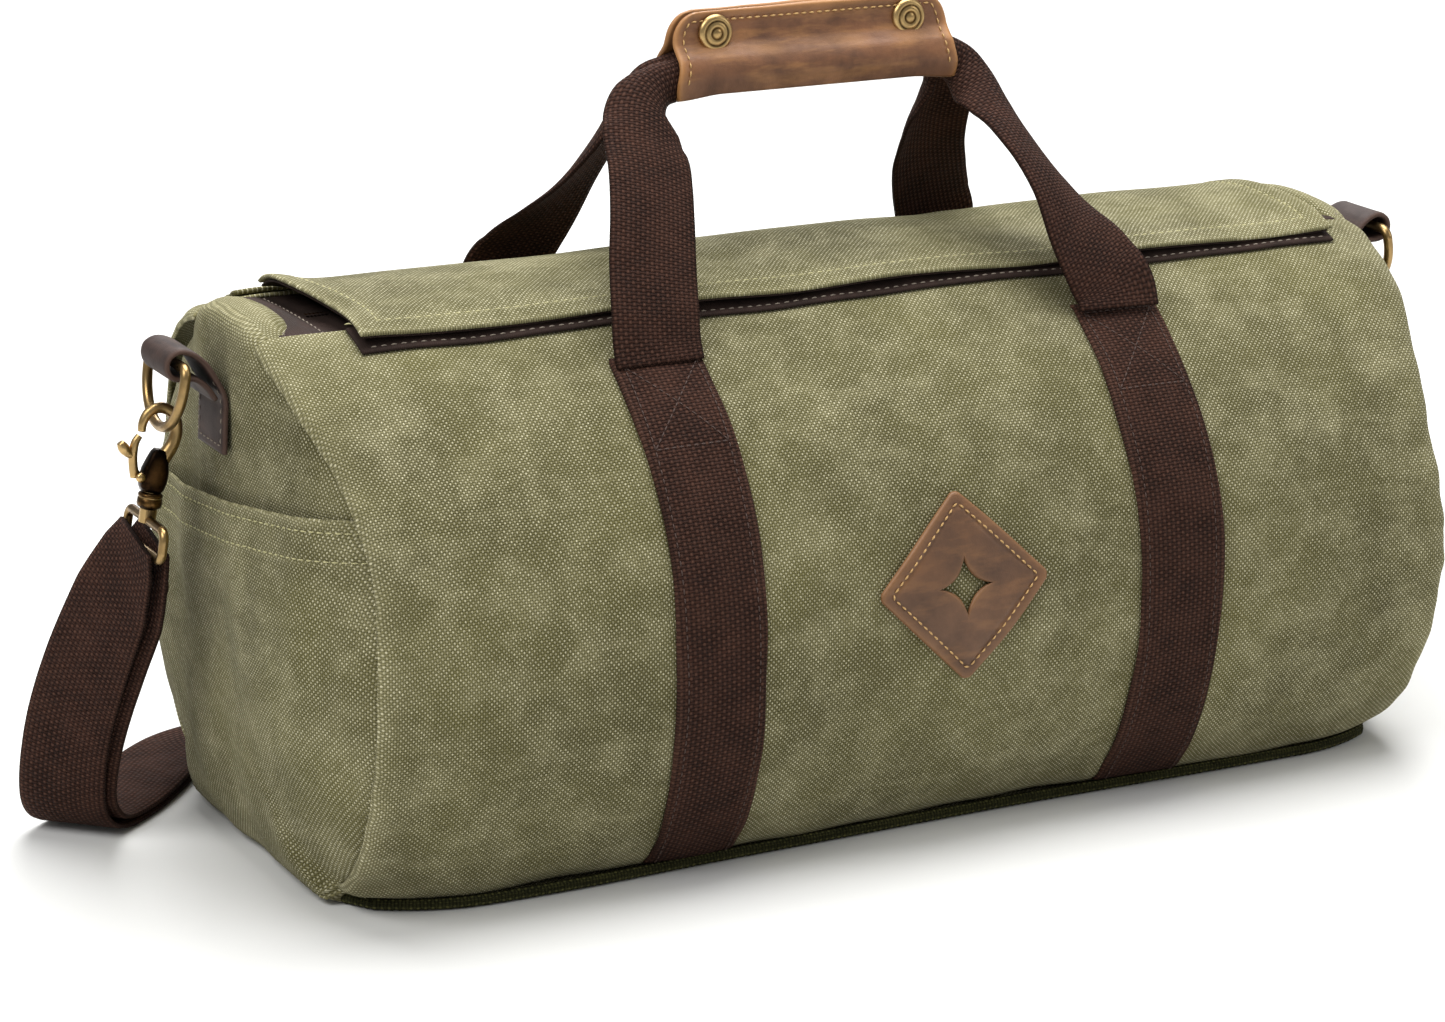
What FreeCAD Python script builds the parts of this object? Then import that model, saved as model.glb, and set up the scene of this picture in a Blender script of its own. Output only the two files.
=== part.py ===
import FreeCAD
import Part
import Sketcher
import math
import os

# Barrel duffel bag, lying on its flat base.
# +X runs along the bag to its right end, -Y is the front, +Z is up.
# The origin is the middle of the base, on the floor. Lengths are millimetres.

V = FreeCAD.Vector
doc = FreeCAD.newDocument("duffel_bag")
sheet = doc.addObject("Spreadsheet::Sheet", "dims")

DIMENSIONS = [
    # barrel: a round shell cut flat by the floor
    ("half_length", 250.0),
    ("barrel_radius", 132.0),
    ("axis_height", 95.0),
    ("canvas", 2.0),
    ("opening_angle", 74.0),
    ("layer_gap", 0.3),
    # base edge piping
    ("piping_size", 5.0),
    ("piping_half_width", 96.8),
    ("piping_round", 2.2),
    # lining and base board
    ("lining_clear", 1.4),
    ("lining_thick", 1.0),
    ("lining_floor", 2.4),
    ("lining_mouth", 84.0),
    ("board_half_length", 236.0),
    ("board_half_width", 82.0),
    ("board_thick", 3.5),
    # end pockets
    ("pocket_gap", 5.0),
    ("pocket_thick", 1.5),
    ("pocket_foot", 6.0),
    ("pocket_hem_height", 148.0),
    ("pocket_inset", 3.0),
    ("pocket_seam", 4.0),
    # zip
    ("tape_height", 216.8),
    ("tape_thick", 1.0),
    ("tape_inner", 1.3),
    ("tape_outer", 40.5),
    ("teeth_gap_half", 0.9),
    ("teeth_width", 2.5),
    ("teeth_thick", 2.4),
    ("teeth_half_length", 225.0),
    ("end_tab_half_width", 35.4),
    ("end_tab_thick", 3.1),
    # zip slider and pull
    ("slider_start", 1.0),
    ("slider_length", 16.0),
    ("slider_half_width", 5.2),
    ("slider_wall", 1.2),
    ("slider_clear", 0.4),
    ("arch_height", 3.4),
    ("arch_inset", 3.0),
    ("arch_foot", 2.2),
    ("arch_half_width", 1.5),
    ("pull_length", 28.4),
    ("pull_half_width", 4.0),
    ("pull_thick", 1.4),
    ("pull_slot", 6.6),
    ("pull_slot_half", 2.0),
    ("pull_pin_radius", 0.7),
    # placket and rain flap
    ("placket_thick", 1.6),
    ("placket_low_angle", 64.5),
    ("placket_high_angle", 73.5),
    ("flap_half_length", 225.0),
    ("flap_front_angle", 67.5),
    ("flap_rear_angle", 107.0),
    ("facing_lift", 3.0),
    ("facing_thick", 1.2),
    ("facing_inset", 1.0),
    ("flap_thick", 2.0),
    ("flap_seam_start", 108.6),
    ("flap_seam_end", 118.0),
    ("flap_seam_thick", 3.2),
    # webbing
    ("webbing_width", 38.0),
    ("webbing_thick", 2.0),
    ("webbing_spacing", 106.0),
    ("webbing_low_angle", -41.0),
    ("webbing_high_angle", 57.0),
    # leather patch
    ("patch_side", 56.0),
    ("patch_height", 113.0),
    ("patch_thick", 2.4),
    # handles and grip
    ("grip_half_length", 64.0),
    ("grip_bottom", 294.5),
    ("grip_top", 329.0),
    ("grip_half_depth", 12.4),
    ("grip_leather", 2.4),
    ("bar_half_length", 63.6),
    ("bar_depth", 7.8),
    ("bar_height", 8.0),
    ("leg_thick", 2.4),
    ("leg_end", 70.6),
    ("snap_spacing", 45.0),
    ("snap_height", 320.0),
    ("snap_radius", 7.5),
    ("snap_thick", 2.2),
    ("socket_radius", 6.0),
    # rings on the ends; the ring and its hook hang a little outwards
    # over the end's bulge
    ("ring_reach", 282.0),
    ("ring_height", 209.0),
    ("hang_angle", 10.0),
    ("ring_wire", 2.1),
    ("ring_half_width", 21.0),
    ("ring_corner", 4.0),
    ("ring_side", 6.0),
    ("tab_half_width", 17.0),
    ("tab_low", 170.0),
    ("tab_leather", 3.2),
    ("tab_loop_radius", 5.0),
    ("tab_hole_radius", 2.5),
    # trigger hooks and strap eyes, measured from the ring's lowest wire
    ("hook_half_depth", 3.0),
    ("hook_bore", 4.6),
    ("hook_rim", 8.6),
    ("hook_heel", 10.5),
    ("hook_block_top", 19.0),
    ("hook_block_low", 27.0),
    ("barrel_low", 33.0),
    ("swivel_radius", 5.0),
    ("stud_hole_radius", 2.2),
    ("head_space_radius", 3.6),
    ("head_space_low", 29.0),
    ("head_space_top", 25.2),
    ("slot_half", 2.0),
    ("pivot_out", 7.4),
    ("pivot_drop", 20.5),
    ("pin_radius", 1.2),
    ("trigger_half_depth", 1.6),
    ("trigger_eye_radius", 2.5),
    ("trigger_hole_radius", 1.55),
    ("eye_wire", 1.9),
    ("eye_half_width", 21.0),
    ("eye_corner", 4.0),
    ("eye_top", 38.0),
    ("eye_low", 50.0),
    # shoulder strap
    ("strap_width", 38.0),
    ("strap_thick", 2.6),
    ("strap_lift", 0.3),
    ("strap_layer_gap", 0.4),
    ("strap_run_back", 127.0),
    ("strap_corner", 30.0),
    ("strap_return_end", -52.0),
    ("rivet_radius", 7.0),
    ("rivet_thick", 1.6),
    ("glide_half_length", 11.0),
    ("glide_half_width", 22.0),
    ("glide_thick", 2.2),
    ("glide_bar", 3.4),
    ("glide_position", -40.0),
]
for row, (alias, size) in enumerate(DIMENSIONS, start=1):
    sheet.set("A%d" % row, alias)
    sheet.set("B%d" % row, str(size))
    sheet.setAlias("B%d" % row, alias)
doc.recompute()

NODES = {}


def size_of(expression):
    """The number that a sheet expression gives now."""
    result = sheet.evalExpression(expression)
    return float(getattr(result, "Value", result))


def keep(name, shape_object):
    """Names a finished sub-part."""
    shape_object.Label = name
    NODES[name] = shape_object
    return shape_object


def new_body(name):
    return keep(name, doc.addObject("PartDesign::Body", name))


def new_sketch(body, plane, name, centre=("0", "0"), lift="0"):
    """A sketch on one of the body's own planes, its origin moved to centre and raised by lift."""
    sketch = body.newObject("Sketcher::SketchObject", name)
    for feature in body.Origin.OriginFeatures:
        if feature.Role == plane:
            sketch.AttachmentSupport = [(feature, "")]
    sketch.MapMode = "FlatFace"
    sketch.setExpression("AttachmentOffset.Base.x", centre[0])
    sketch.setExpression("AttachmentOffset.Base.y", centre[1])
    sketch.setExpression("AttachmentOffset.Base.z", lift)
    return sketch


def bind(sketch, constraint, label, expression):
    index = sketch.addConstraint(constraint)
    sketch.renameConstraint(index, label)
    sketch.setExpression("Constraints." + label, expression)


def draw_polygon(sketch, corners):
    """A closed outline through corners, each a pair of sheet expressions."""
    points = [V(size_of(across), size_of(along), 0) for across, along in corners]
    first = sketch.GeometryCount
    count = len(points)
    for i in range(count):
        sketch.addGeometry(Part.LineSegment(points[i], points[(i + 1) % count]))
    for i in range(count):
        following = first + (i + 1) % count
        sketch.addConstraint(Sketcher.Constraint("Coincident", first + i, 2, following, 1))
    for i, (across, along) in enumerate(corners):
        line = first + i
        place = Sketcher.Constraint("DistanceX", -1, 1, line, 1, points[i].x)
        bind(sketch, place, "across%d" % line, across)
        place = Sketcher.Constraint("DistanceY", -1, 1, line, 1, points[i].y)
        bind(sketch, place, "along%d" % line, along)


def draw_circle(sketch, across, along, radius):
    centre = V(size_of(across), size_of(along), 0)
    index = sketch.addGeometry(Part.Circle(centre, V(0, 0, 1), size_of(radius)))
    bind(sketch, Sketcher.Constraint("Radius", index, size_of(radius)), "radius%d" % index, radius)
    place = Sketcher.Constraint("DistanceX", -1, 1, index, 3, centre.x)
    bind(sketch, place, "across%d" % index, across)
    place = Sketcher.Constraint("DistanceY", -1, 1, index, 3, centre.y)
    bind(sketch, place, "along%d" % index, along)


def pad(body, sketch, length, name, both_ways=False, cut=False):
    """A pad, or a pocket that starts at the sketch and runs against its normal."""
    doc.recompute()
    kind = "PartDesign::Pocket" if cut else "PartDesign::Pad"
    feature = body.newObject(kind, name)
    feature.Profile = sketch
    if both_ways:
        feature.SideType = "Symmetric"
    feature.setExpression("Length", length)
    doc.recompute()
    return feature


def cut_checked(body, sketch, length, name, both_ways=True):
    """A pocket that must take material away."""
    before = body.Shape.Volume
    feature = pad(body, sketch, length, name, both_ways, cut=True)
    if body.Shape.Volume > before - 0.01:
        raise RuntimeError(name + " removes nothing")
    return feature


def arc_band(name, side, inner, outer, low_angle, high_angle, start, length):
    """Cloth curved about the barrel's axis. Angles rise from the horizontal on that side.

    side is -1 for the front and +1 for the back; an angle over 90 passes the top.
    """
    body = new_body(name)
    sketch = new_sketch(body, "YZ_Plane", name + "_profile", ("0", "dims.axis_height"), start)
    if side > 0:
        first, last = low_angle, high_angle
    else:
        first, last = "180 deg - (%s)" % high_angle, "180 deg - (%s)" % low_angle
    a0 = math.radians(size_of(first))
    a1 = math.radians(size_of(last))
    r0 = size_of(inner)
    r1 = size_of(outer)

    def at(radius, angle):
        return V(radius * math.cos(angle), radius * math.sin(angle), 0)

    axis = V(0, 0, 1)
    sketch.addGeometry(Part.ArcOfCircle(Part.Circle(V(0, 0, 0), axis, r0), a0, a1))
    sketch.addGeometry(Part.ArcOfCircle(Part.Circle(V(0, 0, 0), axis, r1), a0, a1))
    sketch.addGeometry(Part.LineSegment(at(r0, a0), at(r1, a0)))
    sketch.addGeometry(Part.LineSegment(at(r0, a1), at(r1, a1)))
    for arc in (0, 1):
        sketch.addConstraint(Sketcher.Constraint("Coincident", arc, 3, -1, 1))
        sketch.addConstraint(Sketcher.Constraint("Coincident", arc, 1, 2, arc + 1))
        sketch.addConstraint(Sketcher.Constraint("Coincident", arc, 2, 3, arc + 1))
    for line in (2, 3):
        sketch.addConstraint(Sketcher.Constraint("PointOnObject", -1, 1, line))
    bind(sketch, Sketcher.Constraint("Radius", 0, r0), "inner", inner)
    bind(sketch, Sketcher.Constraint("Radius", 1, r1), "outer", outer)
    bind(sketch, Sketcher.Constraint("Angle", 2, a0), "first", first)
    bind(sketch, Sketcher.Constraint("Angle", 3, a1), "last", last)
    pad(body, sketch, length, name + "_run")
    return body


def box(name, low, extent):
    """A Part box bound to the sheet: low corner and extents as expressions."""
    block = doc.addObject("Part::Box", name)
    for key, expression in zip(("Length", "Width", "Height"), extent):
        block.setExpression(key, expression)
    for key, expression in zip("xyz", low):
        block.setExpression("Placement.Base." + key, expression)
    return block


def drum(name, radius, start, length):
    """A cylinder about the barrel's axis."""
    cylinder = doc.addObject("Part::Cylinder", name)
    cylinder.setExpression("Radius", radius)
    cylinder.setExpression("Height", length)
    cylinder.Placement = FreeCAD.Placement(V(0, 0, 0), FreeCAD.Rotation(V(0, 1, 0), 90))
    cylinder.setExpression("Placement.Base.x", start)
    cylinder.setExpression("Placement.Base.z", "dims.axis_height")
    return cylinder


def combine(kind, name, base, tool):
    result = doc.addObject("Part::" + kind, name)
    result.Base = base
    result.Tool = tool
    return result


ALL_ROUND = "4 * dims.barrel_radius"
FLOOR_ANGLE = "-asin(dims.axis_height / dims.barrel_radius)"
PANEL_INNER = "dims.barrel_radius - dims.canvas"
ON_PANEL = "dims.barrel_radius + dims.layer_gap"
PANEL_START = "-(dims.half_length - dims.canvas)"
PANEL_RUN = "2 * (dims.half_length - dims.canvas)"
MARGIN_START = "-(dims.half_length - dims.canvas - 0.5)"
MARGIN_RUN = "2 * (dims.half_length - dims.canvas - 0.5)"
ENDS = (("left", -1), ("right", 1))
FACES = (("front", -1), ("back", 1))


def degrees(alias):
    return "dims.%s * 1 deg" % alias


def mirrored(side, expression):
    """The expression for the right side, or its negative for the left."""
    return expression if side > 0 else "-(%s)" % expression


def span(side, near, length):
    """Low end of a run that starts at near, going outwards on that side."""
    return near if side > 0 else "-(%s) - (%s)" % (near, length)


# ---- canvas shell ----
for face, side in FACES:
    arc_band(face + "_panel", side, PANEL_INNER, "dims.barrel_radius",
             FLOOR_ANGLE, degrees("opening_angle"), PANEL_START, PANEL_RUN)

BASE_HALF = "(sqrt((dims.barrel_radius - dims.canvas)^2 - dims.axis_height^2) - 0.2)"
keep("base_panel", box("base_panel", (PANEL_START, "-" + BASE_HALF, "0"),
                       (PANEL_RUN, "2 * " + BASE_HALF, "dims.canvas")))


def flat_disc(name, radius, near, thick, side, low, high):
    """A slice of the barrel between two heights, standing across the bag."""
    start = span(side, near, thick)
    disc = drum(name + "_disc", radius, start, thick)
    keeper = box(name + "_band", (start, "-2 * dims.barrel_radius", low),
                 (thick, ALL_ROUND, "(%s) - (%s)" % (high, low)))
    return combine("Common", name, disc, keeper)


for end, side in ENDS:
    name = "end_panel_" + end
    keep(name, flat_disc(name, "dims.barrel_radius", "dims.half_length - dims.canvas",
                         "dims.canvas", side, "0", ALL_ROUND))

# an end pocket is a tray whose back is the end panel and whose top is open
for end, side in ENDS:
    name = "end_pocket_" + end
    tray = flat_disc(name + "_tray", "dims.barrel_radius - dims.pocket_inset", "dims.half_length",
                     "dims.pocket_gap + dims.pocket_thick", side,
                     "dims.pocket_foot", "dims.pocket_hem_height")
    hollow = flat_disc(name + "_hollow",
                       "dims.barrel_radius - dims.pocket_inset - dims.pocket_seam",
                       "dims.half_length", "dims.pocket_gap", side,
                       "dims.pocket_foot + dims.pocket_seam", ALL_ROUND)
    keep(name, combine("Cut", name, tray, hollow))

# rolled piping around the base edge
piping = new_body("base_piping")
ring = new_sketch(piping, "XY_Plane", "base_piping_outline")
for reach in ("0", "dims.piping_size"):
    across = "(dims.half_length + 0.1 + %s)" % reach
    along = "(dims.piping_half_width + %s)" % reach
    draw_polygon(ring, [("-" + across, "-" + along), (across, "-" + along),
                        (across, along), ("-" + across, along)])
pad(piping, ring, "dims.piping_size", "base_piping_run")
rolled = piping.newObject("PartDesign::Fillet", "base_piping_round")
rolled.Base = (piping.Group[-2], ["Edge%d" % (i + 1) for i in range(len(piping.Shape.Edges))])
rolled.setExpression("Radius", "dims.piping_round")
doc.recompute()

# ---- lining and board ----
LINING_OUTER = "(dims.barrel_radius - dims.canvas - dims.lining_clear)"
LINING_HALF = "(dims.half_length - dims.canvas - dims.lining_clear + 1)"


def lining_form(name, inset):
    half = "(%s - %s)" % (LINING_HALF, inset)
    form = drum(name + "_drum", "%s - %s" % (LINING_OUTER, inset), "-" + half, "2 * " + half)
    above = box(name + "_above", ("-" + half, "-2 * dims.barrel_radius",
                                  "dims.lining_floor + " + inset),
                ("2 * " + half, ALL_ROUND, ALL_ROUND))
    return combine("Common", name, form, above)


lining_bag = combine("Cut", "lining_bag", lining_form("lining_outside", "0"),
                     lining_form("lining_inside", "dims.lining_thick"))
lining_mouth = box("lining_mouth_cut", ("-dims.half_length", "-dims.lining_mouth / 2", "dims.axis_height"),
                   ("2 * dims.half_length", "dims.lining_mouth", ALL_ROUND))
keep("lining", combine("Cut", "lining", lining_bag, lining_mouth))
keep("base_board", box("base_board",
                       ("-dims.board_half_length", "-dims.board_half_width",
                        "dims.lining_floor + dims.lining_thick + 0.4"),
                       ("2 * dims.board_half_length", "2 * dims.board_half_width",
                        "dims.board_thick")))

# ---- zip tapes, teeth and end tabs ----
for face, side in FACES:
    tape_width = "dims.tape_outer - dims.tape_inner"
    name = "zip_tape_" + face
    keep(name, box(name, (MARGIN_START, span(side, "dims.tape_inner", tape_width),
                          "dims.tape_height"), (MARGIN_RUN, tape_width, "dims.tape_thick")))
    name = "zip_teeth_" + face
    keep(name, box(name, ("-dims.teeth_half_length",
                          span(side, "dims.teeth_gap_half", "dims.teeth_width"),
                          "dims.tape_height + dims.tape_thick"),
                   ("2 * dims.teeth_half_length", "dims.teeth_width", "dims.teeth_thick")))
for end, side in ENDS:
    name = "zip_end_tab_" + end
    near = "dims.teeth_half_length + 1"
    reach = "dims.half_length - dims.canvas - 0.5 - (%s)" % near
    keep(name, box(name, (span(side, near, reach), "-dims.end_tab_half_width",
                          "dims.tape_height + dims.tape_thick + 0.1"),
                   (reach, "2 * dims.end_tab_half_width", "dims.end_tab_thick")))

# ---- zip sliders and pulls ----
TEETH_LOW = "(dims.tape_height + dims.tape_thick)"
TEETH_TOP = "(dims.tape_height + dims.tape_thick + dims.teeth_thick)"
SLIDER_TOP = "(%s + dims.slider_clear + dims.slider_wall)" % TEETH_TOP
for end, side in ENDS:
    name = "zip_slider_" + end
    slider = new_body(name)
    post = "0.5"
    wide = "dims.slider_half_width"
    inner = "(dims.slider_half_width - dims.slider_wall)"
    roof = "(%s + dims.slider_clear)" % TEETH_TOP
    flange = "(%s + dims.slider_clear)" % TEETH_LOW
    under = "(dims.tape_height - dims.slider_clear)"
    keel = "(dims.tape_height - dims.slider_clear - dims.slider_wall)"
    half_outline = [(post, under), (wide, under), (wide, keel)]
    upper_outline = [(wide, SLIDER_TOP), (wide, flange), (inner, flange),
                     (inner, roof), (post, roof)]
    mirror_low = [("-" + y, z) for y, z in reversed(half_outline)]
    mirror_high = [("-" + y, z) for y, z in reversed(upper_outline)]
    outline = half_outline + mirror_low + mirror_high + upper_outline
    section = new_sketch(slider, "YZ_Plane", name + "_section", lift=span(
        side, "dims.slider_start", "dims.slider_length"))
    draw_polygon(section, outline)
    pad(slider, section, "dims.slider_length", name + "_shell")
    arch = new_sketch(slider, "XZ_Plane", name + "_arch", (mirrored(side, "dims.slider_start"),
                                                           SLIDER_TOP))
    near = "dims.arch_inset"
    far = "(dims.slider_length - dims.arch_inset)"
    arch_outline = [(near, "-0.2"), (near, "dims.arch_height"), (far, "dims.arch_height"),
                    (far, "-0.2"), (far + " - dims.arch_foot", "-0.2"),
                    (far + " - dims.arch_foot", "dims.arch_height - 1.2"),
                    (near + " + dims.arch_foot", "dims.arch_height - 1.2"),
                    (near + " + dims.arch_foot", "-0.2")]
    draw_polygon(arch, [(mirrored(side, u), w) for u, w in arch_outline])
    pad(slider, arch, "2 * dims.arch_half_width", name + "_bridge", both_ways=True)

PULL_LOW = "(%s + dims.slider_clear)" % SLIDER_TOP
PIN_HEIGHT = "(%s + dims.pull_pin_radius)" % PULL_LOW
for end, side in ENDS:
    name = "zip_pull_" + end
    pull = new_body(name)
    pin_out = "(dims.slider_start + dims.slider_length / 2)"
    plan = new_sketch(pull, "XY_Plane", name + "_plan", (mirrored(side, pin_out), "0"), PULL_LOW)
    heel = "-0.4"
    slot = "dims.pull_slot"
    tip = "dims.pull_length"
    outline = [(heel, "dims.pull_half_width"), (tip, "dims.pull_half_width"),
               (tip, "-dims.pull_half_width"), (heel, "-dims.pull_half_width"),
               (heel, "-dims.pull_slot_half"), (slot, "-dims.pull_slot_half"),
               (slot, "dims.pull_slot_half"), (heel, "dims.pull_slot_half")]
    draw_polygon(plan, [(mirrored(side, u), v) for u, v in outline])
    pad(pull, plan, "dims.pull_thick", name + "_plate")
    pin = new_sketch(pull, "XZ_Plane", name + "_pin_end", (mirrored(side, pin_out), PIN_HEIGHT))
    draw_circle(pin, "0", "0", "dims.pull_pin_radius")
    pad(pull, pin, "2 * (dims.pull_half_width - 0.6)", name + "_pin", both_ways=True)

# ---- placket and rain flap ----
arc_band("placket_front", -1, ON_PANEL, ON_PANEL + " + dims.placket_thick",
         degrees("placket_low_angle"), degrees("placket_high_angle"), MARGIN_START, MARGIN_RUN)
FACING_INNER = "dims.barrel_radius + dims.facing_lift"
FLAP_INNER = FACING_INNER + " + dims.facing_thick"
arc_band("flap_facing", -1, FACING_INNER, FLAP_INNER,
         degrees("flap_front_angle") + " + dims.facing_inset * 1 deg",
         degrees("flap_rear_angle") + " - dims.facing_inset * 1 deg",
         "-(dims.flap_half_length - dims.facing_inset)",
         "2 * (dims.flap_half_length - dims.facing_inset)")
arc_band("rain_flap", -1, FLAP_INNER, FLAP_INNER + " + dims.flap_thick",
         degrees("flap_front_angle"), degrees("flap_rear_angle"),
         "-dims.flap_half_length", "2 * dims.flap_half_length")
arc_band("flap_seam_strip", -1, ON_PANEL, ON_PANEL + " + dims.flap_seam_thick",
         degrees("flap_seam_start"), degrees("flap_seam_end"),
         "-dims.flap_half_length", "2 * dims.flap_half_length")

# ---- webbing runs sewn to the panels ----
for face, depth_side in FACES:
    for end, side in ENDS:
        arc_band("webbing_%s_%s" % (face, end), depth_side, ON_PANEL,
                 ON_PANEL + " + dims.webbing_thick", degrees("webbing_low_angle"),
                 degrees("webbing_high_angle"),
                 mirrored(side, "dims.webbing_spacing") + " - dims.webbing_width / 2",
                 "dims.webbing_width")

# ---- diamond patch on the front ----
patch_shell = combine("Cut", "patch_shell",
                      drum("patch_outside", ON_PANEL + " + dims.patch_thick", "-dims.patch_side",
                           "2 * dims.patch_side"),
                      drum("patch_inside", ON_PANEL, "-dims.patch_side", "2 * dims.patch_side"))
diamond = box("patch_diamond", ("0", "-2 * dims.barrel_radius",
                                "dims.patch_height - dims.patch_side * sqrt(0.5)"),
              ("dims.patch_side", "2 * dims.barrel_radius", "dims.patch_side"))
diamond.Placement = FreeCAD.Placement(diamond.Placement.Base, FreeCAD.Rotation(V(0, 1, 0), -45))
keep("leather_patch", combine("Common", "leather_patch", patch_shell, diamond))

# ---- leather grip around the two handles ----


def lengthwise(name, outline, half_length):
    """A profile in the YZ plane, swept along the grip."""
    body = new_body(name)
    section = new_sketch(body, "YZ_Plane", name + "_section", ("0", "dims.grip_bottom"),
                         "-" + half_length)
    draw_polygon(section, outline)
    pad(body, section, "2 * " + half_length, name + "_run")
    return body


GRIP_TALL = "(dims.grip_top - dims.grip_bottom)"
DEEP = "dims.grip_half_depth"
INNER_DEEP = "(dims.grip_half_depth - dims.grip_leather)"
LIP = "1.6"
LIP_OUT = "(1.6 + dims.grip_leather)"
lengthwise("grip_back_layer", [
    ("-(dims.grip_half_depth - 2.9)", "0"), ("(dims.grip_half_depth - 3.4)", "0"),
    (DEEP, "3.5"), (DEEP, "12.8"), (LIP_OUT, "17.6"), (LIP_OUT, GRIP_TALL),
    (LIP, GRIP_TALL), (LIP, "16.4"), (INNER_DEEP, "11.8"), (INNER_DEEP, "4.3"),
    ("(dims.grip_half_depth - 4.4)", "dims.grip_leather"),
    ("-(dims.grip_half_depth - 2.9)", "dims.grip_leather")], "dims.grip_half_length")
lengthwise("grip_front_layer", [
    ("-" + DEEP, "0.7"), ("-" + DEEP, "12.8"), ("-" + LIP_OUT, "17.6"),
    ("-" + LIP_OUT, GRIP_TALL), ("-" + LIP, GRIP_TALL), ("-" + LIP, "16.4"),
    ("-" + INNER_DEEP, "11.8"), ("-" + INNER_DEEP, "0.7")], "dims.grip_half_length")

for face, side in FACES:
    name = "handle_bar_" + face
    keep(name, box(name, ("-dims.bar_half_length", span(side, "0.5", "dims.bar_depth"),
                          "dims.grip_bottom + dims.grip_leather + 0.8"),
                   ("2 * dims.bar_half_length", "dims.bar_depth", "dims.bar_height")))

for end, side in ENDS:
    for name, depth_side, radius in (("snap_cap_" + end, -1, "dims.snap_radius"),
                                     ("snap_socket_" + end, 1, "dims.socket_radius")):
        stud = new_body(name)
        face_lift = LIP_OUT if depth_side < 0 else "-(%s)" % LIP_OUT
        # the XZ plane's normal points to the front
        disc = new_sketch(stud, "XZ_Plane", name + "_disc",
                          (mirrored(side, "dims.snap_spacing"), "dims.snap_height"), face_lift)
        draw_circle(disc, "0", "0", radius)
        pad(stud, disc, "dims.snap_thick", name + "_cap")
        if depth_side > 0:
            stud.Tip.Reversed = True
            doc.recompute()


def smooth_stations(stations, count):
    """More stations on a smooth curve through the given ones."""
    curve = Part.BSplineCurve()
    curve.interpolate([centre for centre, across, scale in stations])
    knots = [curve.parameter(centre) for centre, across, scale in stations]
    finer = []
    for step in range(count):
        place = knots[0] + (knots[-1] - knots[0]) * step / (count - 1)
        i = 0
        while i < len(knots) - 2 and knots[i + 1] < place:
            i += 1
        share = (place - knots[i]) / (knots[i + 1] - knots[i])
        share = share * share * (3 - 2 * share)
        across = stations[i][1] * (1 - share) + stations[i + 1][1] * share
        scale = [a + (b - a) * share for a, b in zip(stations[i][2], stations[i + 1][2])]
        finer.append((curve.value(place), across, scale))
    return finer


def ribbon(stations, half_width, thick, count=17):
    """A strip of webbing through stations of (centre, width direction, size scale)."""
    stations = smooth_stations(stations, count)
    centres = [centre for centre, across, scale in stations]
    wires = []
    for i, (centre, across, scale) in enumerate(stations):
        before = centres[max(i - 1, 0)]
        after = centres[min(i + 1, len(centres) - 1)]
        travel = (after - before).normalize()
        flat = across - travel * across.dot(travel)
        flat.normalize()
        normal = travel.cross(flat)
        across_step = flat * half_width * scale[0]
        normal_step = normal * thick * 0.5 * scale[1]
        corners = [centre + across_step + normal_step, centre - across_step + normal_step,
                   centre - across_step - normal_step, centre + across_step - normal_step]
        wires.append(Part.makePolygon(corners + corners[:1]))
    return Part.makeLoft(wires, True, True)


def soft_solid(name, shape):
    """A cloth strip whose form no single sketch gives: sizes come from the sheet."""
    feature = doc.addObject("Part::Feature", name)
    feature.Shape = shape
    feature.Placement = FreeCAD.Placement()
    return keep(name, feature)


# a handle leg leaves the panel at the top of its webbing run and bows up to the grip
half_web = size_of("dims.webbing_width") / 2
web_angle = math.radians(size_of("dims.webbing_high_angle") + 0.6)
web_radius = size_of(ON_PANEL) + size_of("dims.leg_thick") / 2
root_depth = web_radius * math.cos(web_angle)
root_height = size_of("dims.axis_height") + web_radius * math.sin(web_angle)
spacing = size_of("dims.webbing_spacing")
grip_middle = size_of("dims.grip_bottom") + 9.0
leg_path = [
    (spacing, root_depth, root_height, (1.0, 1.0)),
    (spacing - 1, root_depth - 6, root_height + 22, (1.0, 1.0)),
    (spacing - 6, root_depth - 18, root_height + 50, (0.95, 1.1)),
    (spacing - 16, root_depth - 38, root_height + 78, (0.75, 1.6)),
    (size_of("dims.leg_end"), 5.5, grip_middle, (0.32, 2.6)),
]
for face, depth_side in FACES:
    for end, side in ENDS:
        stations = []
        for i, (out, deep, high, scale) in enumerate(leg_path):
            across = V(side, 0, 0) if i < 3 else V(side, 0, 0.45 * (i - 2))
            stations.append((V(side * out, depth_side * deep, high), across, scale))
        soft_solid("handle_leg_%s_%s" % (face, end),
                   ribbon(stations, half_web, size_of("dims.leg_thick")))

# ---- ring tabs, rings, hooks and strap eyes ----
WIRE_HEIGHT = "(dims.ring_height - dims.ring_side - dims.ring_half_width)"


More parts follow.
